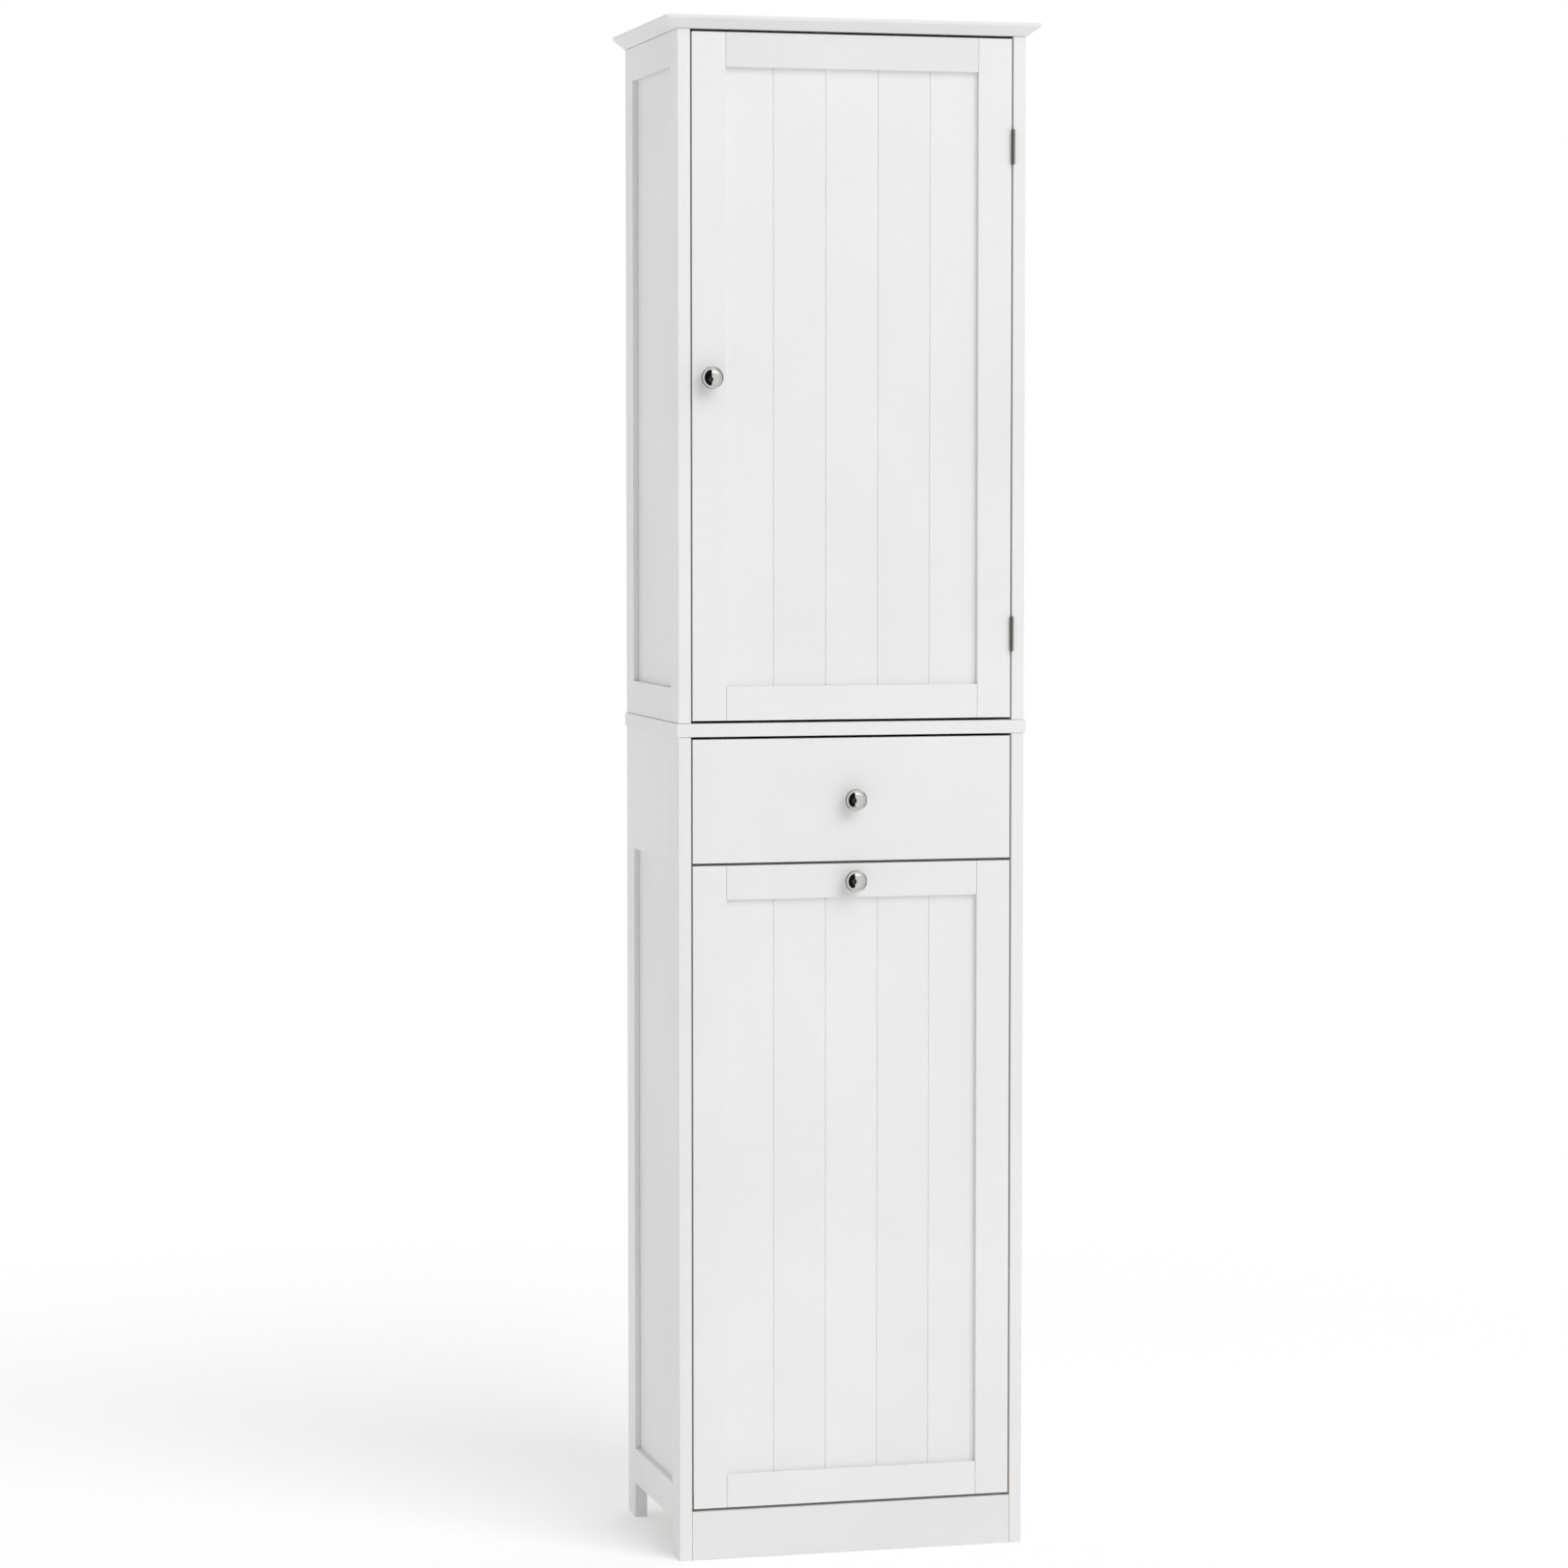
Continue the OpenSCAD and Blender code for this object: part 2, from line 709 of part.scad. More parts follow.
// Turned knob: foot, neck, bell, a rim with a shallow dish and a domed face, with its screw from behind
module knob(x, z) {
    rim_r = knob_d / 2;
    foot_r = knob_foot_d / 2;
    neck_r = knob_neck_d / 2;
    rim_z = knob_reach * 0.68;
    rim_h = 2.7;
    crest_r = rim_r - 0.5;
    dish_h = 0.35;
    dome_r = rim_r - 3.1;
    dome_z = rim_z + rim_h;
    dome_h = knob_reach - dome_z;
    ball_r = (dome_r * dome_r + dome_h * dome_h) / (2 * dome_h);
    dome_a = asin(dome_r / ball_r);
    bell_r = rim_r - neck_r;
    bell_h = rim_z - 7;
    bell = [for (i = [0 : 6]) [rim_r - bell_r * cos(i * 15), rim_z - bell_h * (1 - sin(i * 15))]];
    foot = arc([foot_r, 1.2 + foot_r - neck_r], foot_r - neck_r, -90, -180, 4);
    rim = [[crest_r, dome_z - 0.2], [crest_r - 0.3, dome_z]];
    dish = [[dome_r + 1.1, dome_z - dish_h], [dome_r + 0.1, dome_z - dish_h]];
    dome = arc([0, knob_reach - ball_r], ball_r, 90 - dome_a, 90, 8);
    translate([x, front, z]) rotate([90, 0, 0]) {
        color("gainsboro") rotate_extrude()
            polygon(concat([[0, 0], [foot_r, 0]], foot, bell, rim, dish, dome));
        color("silver") knob_screw();
    }
}

// Screw of a knob, drawn in the knob's own frame: head behind the front, shank up to the foot
module knob_screw() {
    head_h = 2.2;
    head_d = 8;
    translate([0, 0, -front_t]) cylinder(d = knob_screw_d, h = front_t);
    translate([0, 0, -front_t - head_h]) cylinder(d1 = head_d - 1.5, d2 = head_d, h = head_h);
}

module door_left_stile() {
    color(white) difference() {
        front_stile(-1, door_z0, door_z1);
        knob_hole(door_knob_x, door_knob_z);
    }
}

module door_right_stile() {
    color(white) difference() {
        front_stile(1, door_z0, door_z1);
        for (z = hinge_zs) hinge_mortise(-1, z);
    }
}

module door_top_rail() {
    color(white) front_rail(door_z1 - front_rail_h, door_z1, false);
}

module door_low_rail() {
    color(white) front_rail(door_z0, door_z0 + front_rail_h, true);
}

module door_panel() {
    color(white) grooved_panel(door_z0 + front_rail_h, door_z1 - front_rail_h);
}

module door_knob() {
    knob(door_knob_x, door_knob_z);
}

// Steel plate on the back of the door, held by the catch
module strike_plate() {
    x0 = -front_x + strike_inset;
    x1 = x0 + strike_w;
    color("silver") difference() {
        board([x0, front_y1, catch_z - strike_h / 2], [x1, front_y1 + strike_t, catch_z + strike_h / 2]);
        for (z = [catch_z - strike_h * 0.3, catch_z + strike_h * 0.3])
            round_y(strike_hole_d, front_y1 - 1, front_y1 + strike_t + 1, (x0 + x1) / 2, z);
    }
}

module drawer_front() {
    color(white) difference() {
        board([-front_x, front, drawer_z0], [front_x, front_y1, drawer_z1]);
        knob_hole(0, drawer_knob_z);
        board(
            [-drawer_x + drawer_side_t - drawer_groove, front_y1 - drawer_groove, drawer_bottom_z],
            [drawer_x - drawer_side_t + drawer_groove, front_y1 + 1, drawer_bottom_z + drawer_bottom_t]
        );
    }
}

// Drawer side with the groove for the runner outside and for the bottom inside
module drawer_side(side) {
    runner_top = runner_z + runner_h / 2 + runner_gap;
    runner_low = runner_z - runner_h / 2 - runner_gap;
    color(inside_white) for_side(side) difference() {
        board(
            [drawer_x - drawer_side_t, front_y1, drawer_floor],
            [drawer_x, drawer_y1, drawer_floor + drawer_side_h]
        );
        board(
            [inner_x - runner_t - runner_gap, runner_y0 - runner_gap, runner_low],
            [drawer_x + 1, drawer_y1 + 1, runner_top]
        );
        board(
            [drawer_x - drawer_side_t - 1, front_y1 - 1, drawer_bottom_z],
            [drawer_x - drawer_side_t + drawer_groove, drawer_y1 + 1, drawer_bottom_z + drawer_bottom_t]
        );
    }
}

module drawer_left_side() { drawer_side(-1); }
module drawer_right_side() { drawer_side(1); }

module drawer_back() {
    half_w = drawer_x - drawer_side_t;
    color(inside_white)
        board(
            [-half_w, drawer_y1 - drawer_side_t, drawer_bottom_z + drawer_bottom_t],
            [half_w, drawer_y1, drawer_floor + drawer_side_h]
        );
}

module drawer_bottom() {
    half_w = drawer_x - drawer_side_t + drawer_groove;
    color(inside_white)
        board(
            [-half_w, front_y1 - drawer_groove, drawer_bottom_z],
            [half_w, drawer_y1, drawer_bottom_z + drawer_bottom_t]
        );
}

module drawer_knob() {
    knob(0, drawer_knob_z);
}

// Stile of the flap, bored in its edge for the pivot pin
module flap_stile(side) {
    color(white) difference() {
        front_stile(side, flap_z0, flap_z1);
        for_side(side)
            round_x(pivot_pin_d + 2 * pin_fit, front_x - pivot_pin_l - 1, front_x + 1, pivot_y, pivot_z);
    }
}

module flap_left_stile() { flap_stile(-1); }
module flap_right_stile() { flap_stile(1); }

module flap_top_rail() {
    color(white) difference() {
        front_rail(flap_z1 - front_rail_h, flap_z1, false);
        knob_hole(0, flap_knob_z);
    }
}

module flap_low_rail() {
    color(white) front_rail(flap_z0, flap_z0 + front_rail_h, true);
}

module flap_panel() {
    color(white) grooved_panel(flap_z0 + front_rail_h, flap_z1 - front_rail_h);
}

module flap_knob() {
    knob(0, flap_knob_z);
}

// Outline of a hamper cheek in Y and Z: its top is an arc about the pivot
module cheek_outline() {
    intersection() {
        translate([pivot_y, pivot_z]) circle(r = hamper_r, $fn = 180);
        translate([front_y1, pivot_z]) square([hamper_d, hamper_r]);
    }
}

// Slot for a stop peg, an arc about the pivot as long as the flap's tilt
module cheek_slot() {
    reach = 2 * slot_r;
    far = peg_angle + flap_tilt;
    translate([pivot_y, pivot_z]) {
        intersection() {
            difference() {
                circle(r = slot_r + slot_w / 2, $fn = 180);
                circle(r = slot_r - slot_w / 2, $fn = 180);
            }
            polygon([
                [0, 0], reach * [sin(peg_angle), cos(peg_angle)],
                reach * [sin(peg_angle + flap_tilt / 2), cos(peg_angle + flap_tilt / 2)] * 1.2,
                reach * [sin(far), cos(far)]
            ]);
        }
        for (a = [peg_angle, far])
            translate(slot_r * [sin(a), cos(a)]) circle(d = slot_w);
    }
}

module hamper_cheek(side) {
    color(inside_white) for_side(side) along_x(cheek_x - hamper_t, cheek_x) difference() {
        cheek_outline();
        cheek_slot();
    }
}

module hamper_left_cheek() { hamper_cheek(-1); }
module hamper_right_cheek() { hamper_cheek(1); }

module hamper_back() {
    half_w = cheek_x - hamper_t;
    color(inside_white)
        board([-half_w, hamper_y1 - hamper_t, pivot_z + hamper_t], [half_w, hamper_y1, hamper_back_z]);
}

module hamper_bottom() {
    half_w = cheek_x - hamper_t;
    color(inside_white) board([-half_w, front_y1, pivot_z], [half_w, hamper_y1, pivot_z + hamper_t]);
}

crown_board();
waist_board();
bottom_board();
drawer_divider();
plinth();
upper_back_panel();
lower_back_panel();
wall_rail();
upper_shelf();
lower_shelf();
shelf_pins();
left_upper_front_stile();
left_upper_rear_stile();
left_upper_rails();
left_upper_panel();
right_upper_front_stile();
right_upper_rear_stile();
right_upper_rails();
right_upper_panel();
left_front_leg();
left_rear_leg();
left_lower_rails();
left_lower_panel();
right_front_leg();
right_rear_leg();
right_lower_rails();
right_lower_panel();
left_drawer_runner();
right_drawer_runner();
door_catch();
hinge_frame_leaves();
hinge_pins();
left_pivot_plate();
right_pivot_plate();
stop_pegs();
door_left_stile();
door_right_stile();
door_top_rail();
door_low_rail();
door_panel();
door_knob();
strike_plate();
hinge_door_leaves();
drawer_front();
drawer_left_side();
drawer_right_side();
drawer_back();
drawer_bottom();
drawer_knob();
flap_left_stile();
flap_right_stile();
flap_top_rail();
flap_low_rail();
flap_panel();
flap_knob();
hamper_left_cheek();
hamper_right_cheek();
hamper_back();
hamper_bottom();
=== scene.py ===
# %% [markdown]
# # A painted bathroom cabinet
#
# This notebook dresses a finished construction model. The model brings every board, hinge and knob
# of a tall bathroom cabinet at its real size, with its joints: a cupboard door, a drawer and a
# tilt-out hamper. Here the pieces get rounded edges, finishes and small fittings, and a studio to
# stand in. Everything is in metres, with +Z up, the floor at Z = 0 and the front towards -Y.

# %% Load the construction model
import json
import math

import bmesh
import bpy
import numpy as np
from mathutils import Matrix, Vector

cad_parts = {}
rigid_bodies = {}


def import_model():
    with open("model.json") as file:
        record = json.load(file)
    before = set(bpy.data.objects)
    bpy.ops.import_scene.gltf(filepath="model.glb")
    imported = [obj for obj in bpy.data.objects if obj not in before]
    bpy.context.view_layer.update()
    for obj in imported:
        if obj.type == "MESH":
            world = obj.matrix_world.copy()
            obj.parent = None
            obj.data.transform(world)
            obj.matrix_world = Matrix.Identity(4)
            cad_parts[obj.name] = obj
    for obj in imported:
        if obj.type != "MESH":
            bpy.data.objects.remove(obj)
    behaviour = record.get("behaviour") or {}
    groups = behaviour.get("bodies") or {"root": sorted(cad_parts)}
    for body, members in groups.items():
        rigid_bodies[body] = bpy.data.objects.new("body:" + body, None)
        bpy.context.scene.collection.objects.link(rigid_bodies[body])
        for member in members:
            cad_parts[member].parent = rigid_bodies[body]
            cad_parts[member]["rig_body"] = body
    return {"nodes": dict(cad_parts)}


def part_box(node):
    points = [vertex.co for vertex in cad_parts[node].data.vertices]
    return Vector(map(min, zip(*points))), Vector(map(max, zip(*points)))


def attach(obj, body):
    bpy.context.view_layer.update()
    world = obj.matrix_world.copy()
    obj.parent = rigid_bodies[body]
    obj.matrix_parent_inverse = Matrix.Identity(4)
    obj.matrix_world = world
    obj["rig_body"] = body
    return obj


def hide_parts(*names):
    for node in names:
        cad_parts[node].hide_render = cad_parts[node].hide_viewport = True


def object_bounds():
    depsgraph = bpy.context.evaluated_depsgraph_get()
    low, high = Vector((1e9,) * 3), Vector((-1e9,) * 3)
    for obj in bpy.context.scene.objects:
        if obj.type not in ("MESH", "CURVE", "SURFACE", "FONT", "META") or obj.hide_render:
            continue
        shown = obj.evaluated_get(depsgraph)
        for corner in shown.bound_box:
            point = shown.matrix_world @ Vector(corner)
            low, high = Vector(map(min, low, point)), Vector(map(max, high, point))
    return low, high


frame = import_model()
NODES = frame["nodes"]
CAD_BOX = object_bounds()
MM = 0.001
print("nodes:", len(NODES), "box:", [round(v, 4) for corner in CAD_BOX for v in corner])

# %% [markdown]
# ## The viewpoint
#
# The photograph was matched by fitting a pinhole camera to the edges of the boards, whose sizes are
# known. A camera turned by hand could come close, but a fit also says how far off each edge still
# is. It gave a focal length in pixels of the square photograph, the eye's place, and the turn and
# dip of the view. A lens in millimetres is the focal length in pixels, scaled to the sensor's
# width. The lens's axis meets the picture a little beside and below its middle, which a lens shift
# stands for.

# %% Camera
PHOTO_SIDE = 1600
FOCAL_PIXELS = 4761.4
AXIS_RIGHT_OF_MIDDLE = 7.1
AXIS_BELOW_MIDDLE = 20.0
SENSOR_WIDTH = 36
EYE = Vector((-1.3337, -5.1038, 1.1915))
VIEW_TURN = math.radians(-14.231)
VIEW_DIP = math.radians(3.906)


def stand(name, data):
    """Puts a mesh, a lamp or a camera into the scene as an object, and returns it."""
    thing = bpy.data.objects.new(name, data)
    bpy.context.scene.collection.objects.link(thing)
    return thing


camera_data = bpy.data.cameras.new("viewpoint")
camera_data.sensor_width = SENSOR_WIDTH
camera_data.lens = FOCAL_PIXELS / PHOTO_SIDE * SENSOR_WIDTH
camera_data.shift_x = -AXIS_RIGHT_OF_MIDDLE / PHOTO_SIDE
camera_data.shift_y = AXIS_BELOW_MIDDLE / PHOTO_SIDE
camera = stand("viewpoint", camera_data)
camera.location = EYE
camera.rotation_euler = (math.pi / 2 - VIEW_DIP, 0, VIEW_TURN)
bpy.context.scene.camera = camera
print("lens:", round(camera_data.lens, 1), "mm")

# %% [markdown]
# ## Small helpers for shader nodes
#
# A finish is a graph of shader nodes. It could be wired with one line for each socket, but then the
# idea drowns in wiring. So one function adds a node, sets its sockets and links its inputs, and
# each finish below reads as a short list. Colours are written as sRGB hex values, as a paint chart
# gives them, and turned to the linear values that the renderer works with.


# %% Node and colour helpers
def linear(hex_colour):
    """sRGB to linear: v / 12.92 below 0.04045, else ((v + 0.055) / 1.055) ** 2.4."""
    srgb = [int(hex_colour[i : i + 2], 16) / 255 for i in (1, 3, 5)]
    return (*[v / 12.92 if v <= 0.04045 else ((v + 0.055) / 1.055) ** 2.4 for v in srgb], 1.0)


def add(tree, kind, settings=None, **inputs):
    """Adds a node. settings are its properties; inputs are its sockets, by name or as _number,
    and each is a value, or an output of another node to link."""
    node = tree.nodes.new(kind)
    for name, value in (settings or {}).items():
        setattr(node, name, value)
    for name, value in inputs.items():
        socket = node.inputs[int(name[1:]) if name[1:].isdigit() else name.replace("_", " ")]
        if isinstance(value, bpy.types.NodeSocket):
            tree.links.new(value, socket)
        else:
            socket.default_value = value
    return node


def new_material(name):
    """An empty material; returns it and the tree that its nodes go into."""
    material = bpy.data.materials.new(name)
    material.use_nodes = True
    material.node_tree.nodes.clear()
    return material, material.node_tree


def new_finish(name, **constants):
    """A material whose principled shader is wired to the output; the constants are set on the
    shader's own sockets. Returns the material, its tree and the shader."""
    material, tree = new_material(name)
    shader = add(tree, "ShaderNodeBsdfPrincipled", **constants)
    add(tree, "ShaderNodeOutputMaterial", Surface=shader.outputs["BSDF"])
    return material, tree, shader


print("hex #808080 is", round(linear("#808080")[0], 3), "in linear light")

# %% [markdown]
# ## Studio
#
# The cabinet was photographed against pure white with soft light. One large softbox stands far off
# to the right of the front, 36 degrees up: the shadow under each knob falls down and a little to
# the left, and says so. A softbox close by would do for the shadows, but the front is as bright at
# its foot as at its head, which only a far one gives. The rest is the pale room itself. It could be
# built from lit walls, but a world whose strength differs by ray is cleaner: rays from the camera
# and mirror-like rays see white, and the others get the level that a pale room gives. A lit white
# backdrop stands behind the cabinet, so that level is higher from behind than from the front.

# %% World
FRONT_LEVEL = 0.38
BACK_LEVEL = 0.86
LARGEST = {"operation": "MAXIMUM"}


def seen_directly(tree):
    """1 where a ray comes from the camera, from a mirror or through glass, else 0."""
    kinds = add(tree, "ShaderNodeLightPath").outputs
    camera_ray, glass_ray = kinds["Is Camera Ray"], kinds["Is Transmission Ray"]
    clear = add(tree, "ShaderNodeMath", LARGEST, _0=camera_ray, _1=glass_ray).outputs[0]
    return add(tree, "ShaderNodeMath", LARGEST, _0=clear, _1=kinds["Is Glossy Ray"]).outputs[0]


world = bpy.data.worlds.new("pale_room")
bpy.context.scene.world = world
world.use_nodes = True
sky = world.node_tree
sky.nodes.clear()
way = add(sky, "ShaderNodeTexCoord")
axes = add(sky, "ShaderNodeSeparateXYZ", Vector=way.outputs["Generated"])
given = add(
    sky,
    "ShaderNodeMapRange",
    Value=axes.outputs["Y"],
    From_Min=-1.0,
    From_Max=1.0,
    To_Min=FRONT_LEVEL,
    To_Max=BACK_LEVEL,
)
level = add(
    sky,
    "ShaderNodeMapRange",
    Value=seen_directly(sky),
    To_Min=given.outputs["Result"],
    To_Max=1.0,
)
room = add(
    sky, "ShaderNodeBackground", Color=linear("#FFFFFF"), Strength=level.outputs["Result"]
)
add(sky, "ShaderNodeOutputWorld", Surface=room.outputs[0])
bpy.context.scene.view_settings.view_transform = "Standard"
print("room level from the front and from behind:", FRONT_LEVEL, BACK_LEVEL)


# %% Softbox
def direction(turn, rise):
    """Unit vector at a turn to the right of the front and a rise above level, in degrees:
    (sin turn cos rise, -cos turn cos rise, sin rise)."""
    turn, rise = np.radians(turn), np.radians(rise)
    across = np.cos(rise)
    return np.stack([np.sin(turn) * across, -np.cos(turn) * across, np.sin(rise)], axis=-1)


def softbox(name, turn, rise, distance, size, watts):
    """A square area light, at that direction and distance from the cabinet's middle, aimed at it."""
    light = bpy.data.lights.new(name, "AREA")
    light.shape = "SQUARE"
    light.size = size
    light.energy = watts
    lamp = stand(name, light)
    way = Vector(direction(turn, rise))
    lamp.location = Vector((0, 0, CAD_BOX[1][2] * 0.5)) + way * distance
    lamp.rotation_euler = (-way).to_track_quat("-Z", "Y").to_euler()
    return lamp


key_lamp = softbox("key_softbox", turn=24, rise=36, distance=26, size=19, watts=3000)
# What the chrome mirrors is set further down, sheet by sheet, so the softbox is not in it.
key_lamp.visible_glossy = False

# %% [markdown]
# ## Floor
#
# The floor is one pale sheet. Close to the cabinet it is a plain matt floor that takes the shadow.
# Further out it turns into an even white, so that it meets the white background without a line. A
# floor curved up into a wall would hide that line too, but only from the front. Product studios use
# a sheet of milky acrylic that is lit from below: it keeps the shadow soft and pale, and it lights
# what faces down, such as the slope of the crown board. So the floor gives a low glow of its own.


# %% Floor
def new_piece(name, points, faces):
    """An object at the origin whose mesh has an array of points and a list of faces."""
    mesh = bpy.data.meshes.new(name)
    mesh.from_pydata(np.reshape(points, (-1, 3)).tolist(), [], faces)
    return stand(name, mesh)


FLOOR_GLOW = 0.15
FLOOR_REACH = 30
FLOOR_NEAR = 0.6
FLOOR_FAR = 2.4
# The Mix node blends colours: its sockets 6 and 7 are then the two colours, and output 2 the blend.
COLOURS = {"data_type": "RGBA"}


def floor_finish():
    """Matt floor near the middle; where it is seen directly, it fades to white with distance."""
    material, tree = new_material("pale_matt_floor")
    seen = seen_directly(tree)
    white = linear("#FFFFFF")
    paint = add(tree, "ShaderNodeMix", COLOURS, _0=seen, _6=linear("#F2F2F2"), _7=white)
    matt = add(tree, "ShaderNodeBsdfDiffuse", Color=paint.outputs[2])
    glow = add(tree, "ShaderNodeEmission", Strength=FLOOR_GLOW)
    near = add(tree, "ShaderNodeAddShader", _0=matt.outputs[0], _1=glow.outputs[0])
    place = add(tree, "ShaderNodeTexCoord")
    length = {"operation": "LENGTH"}
    reach = add(tree, "ShaderNodeVectorMath", length, _0=place.outputs["Object"])
    fade = add(
        tree,
        "ShaderNodeMapRange",
        {"interpolation_type": "SMOOTHSTEP"},
        Value=reach.outputs["Value"],
        From_Min=FLOOR_NEAR,
        From_Max=FLOOR_FAR,
    )
    times = {"operation": "MULTIPLY"}
    share = add(tree, "ShaderNodeMath", times, _0=seen, _1=fade.outputs["Result"]).outputs[0]
    far = add(tree, "ShaderNodeEmission", Strength=1.0).outputs[0]
    both = add(tree, "ShaderNodeMixShader", _0=share, _1=near.outputs[0], _2=far)
    add(tree, "ShaderNodeOutputMaterial", Surface=both.outputs[0])
    return material


corners = FLOOR_REACH * np.array([(-1, -1, 0), (1, -1, 0), (1, 1, 0), (-1, 1, 0)])
floor = new_piece("studio_floor", corners, [(0, 1, 2, 3)])
floor.data.materials.append(floor_finish())
print("floor:", tuple(floor.dimensions))

# %% [markdown]
# ## What the chrome mirrors
#
# Polished chrome in an all-white room looks like white plastic: what makes it read as metal is
# something dark to mirror. The knobs in the photograph are black over their left half, white at the
# top right, and have a small dark oval with a grey edge near the middle. That could be painted on
# the metal, but it would then stick to the knob from every side. So these reflections are painted on
# sheets instead: a dark sheet left of the viewpoint paints the dark half, a glowing card overhead
# paints the highlight, and in front a dark oval with a faintly glowing grey edge paints the camera's
# reflection. Each is a thin sheet on a ball about the knobs' height. Only mirror-like rays meet it,
# so it lights or dims nothing else.


# %% Sheets that paint the chrome's reflections
KNOB_LEVEL = 0.85


def grid_faces(rows, cols, closed=False):
    """Four corners for each cell of a grid of points, counted row by row. In a closed grid, the
    last column meets the first."""
    cells = np.arange(cols if closed else cols - 1)
    row, col = np.meshgrid(np.arange(rows - 1), cells, indexing="ij")
    here, after = row * cols, (col + 1) % cols
    above = here + cols
    return np.stack([here + col, here + after, above + after, above + col], -1).reshape(-1, 4)


def painted_reflection_sheet(name, turn, rise, reach, finish):
    """Grid of points from arrays of turns and rises in degrees and reaches in metres:
    point = direction * reach, above the knobs' level. Only mirror-like rays see it, so it paints a
    reflection."""
    reach = np.broadcast_to(reach, turn.shape)[..., None]
    points = direction(turn, rise) * reach + np.array([0, 0, KNOB_LEVEL])
    sheet = new_piece(name, points, grid_faces(*turn.shape).tolist())
    sheet.data.materials.append(finish)
    sheet.visible_camera = False
    sheet.visible_diffuse = False
    sheet.visible_shadow = False
    sheet.visible_transmission = False
    print(name, "faces:", len(sheet.data.polygons))


print("sheets hang about a point", KNOB_LEVEL, "m up")


# %% Shapes and glow of the sheets
def oval(turn, rise, half_turn, half_rise):
    """Square grid pulled to an oval: x = u * sqrt(1 - v * v / 2), y = v * sqrt(1 - u * u / 2)."""
    u, v = np.meshgrid(np.linspace(-1, 1, 25), np.linspace(-1, 1, 25), indexing="ij")
    x, y = u * np.sqrt(1 - v * v / 2), v * np.sqrt(1 - u * u / 2)
    return turn + half_turn * x, rise + half_rise * y


def reflection_glow(name, strength):
    """An even glow of its own, for sheets that only the chrome sees: a painted highlight or a
    painted grey edge in its reflection.
    """
    material, tree = new_material(name)
    glow = add(tree, "ShaderNodeEmission", Strength=strength)
    add(tree, "ShaderNodeOutputMaterial", Surface=glow.outputs[0])
    return material


# A dark finish for sheets that only the chrome sees: it paints the dark parts of its reflection.
DARK_REFLECTION_FINISH = new_finish("painted_dark_reflection", Base_Color=linear("#060606"), Roughness=0.95)[0]
print("cloth:", DARK_REFLECTION_FINISH.name)

# %% Dark sheet that paints the chrome's dark reflection
DARK_SHEET_REACH = 2.4
DARK_SHEET_LIFT = 0.002
DARK_SHEET_RIGHT_EDGE = -10.6

# The dark sheet paints the dark part of the chrome's reflection. It lies on the floor near the
# cabinet, then goes up a dome of 2.4 m and over the top. The dome's foot is where it meets the
# floor, 20.7 degrees below the knobs' level.
on_floor = np.array([0.3, 1.2])
floor_drop = DARK_SHEET_LIFT - KNOB_LEVEL
dome_rise = np.linspace(-20.7, 89, 30)
rise = np.concatenate([np.degrees(np.arctan2(floor_drop, on_floor)), dome_rise])
reach = np.concatenate([np.hypot(on_floor, floor_drop), np.full(len(dome_rise), DARK_SHEET_REACH)])
turns, rises = np.meshgrid(np.linspace(-105, DARK_SHEET_RIGHT_EDGE, 40), rise, indexing="ij")
painted_reflection_sheet("mirror_only_dark_sheet", turns, rises, reach[None, :], DARK_REFLECTION_FINISH)

# %% Painted highlight card and painted camera reflection
CARD_REACH = 2.2
HALO_SHEET_REACH = 1.75
CAMERA_REFLECTION_REACH = 1.7

# The card glows only for mirror-like rays: it is the chrome's painted highlight. Its low edge drops
# # towards the right, as 58 - 28 u squared degrees; its top is at 96.
u, v = np.meshgrid(np.linspace(0, 1, 40), np.linspace(0, 1, 40), indexing="ij")
low_edge = 58 - 28 * u * u
card_rise = low_edge + (96 - low_edge) * v
painted_reflection_sheet("painted_highlight_card", -8 + 97 * u, card_rise, CARD_REACH, reflection_glow("painted_highlight_card", 1.75))

# A grey oval with a faint glow, and a dark oval just in front of it, paint the camera's reflection
# in the chrome.
edge = oval(turn=-26, rise=-6, half_turn=16, half_rise=25)
painted_reflection_sheet("painted_halo_sheet", *edge, HALO_SHEET_REACH, reflection_glow("painted_grey_halo", 0.1))
camera_reflection_oval = oval(turn=-8, rise=-6, half_turn=10, half_rise=26)
painted_reflection_sheet("painted_camera_reflection", *camera_reflection_oval, CAMERA_REFLECTION_REACH, DARK_REFLECTION_FINISH)

# %% [markdown]
# ## Painted board
#
# The outside is fibreboard and close-grained wood, sprayed with a satin white enamel. The eye gets
# an even white with a soft sheen, no grain, and a very fine dimple that sprayers call orange peel.
# One flat white would match the colour and nothing else, so the graph has all three. The dimple is
# about 2 mm across and only microns deep, so it only blurs reflections a little. Each board takes
# the paint a little differently, which a tone number on each mesh gives; on a few boards that number
# also darkens them as painted shade.

# %% Paint finishes
CLOUD_SIZE = 0.22
TONE_SHARE = 0.6
TONE_RANGE = (0.35, 1.2)
SHEEN_SPREAD = 0.04
ENAMEL_IOR = 1.5


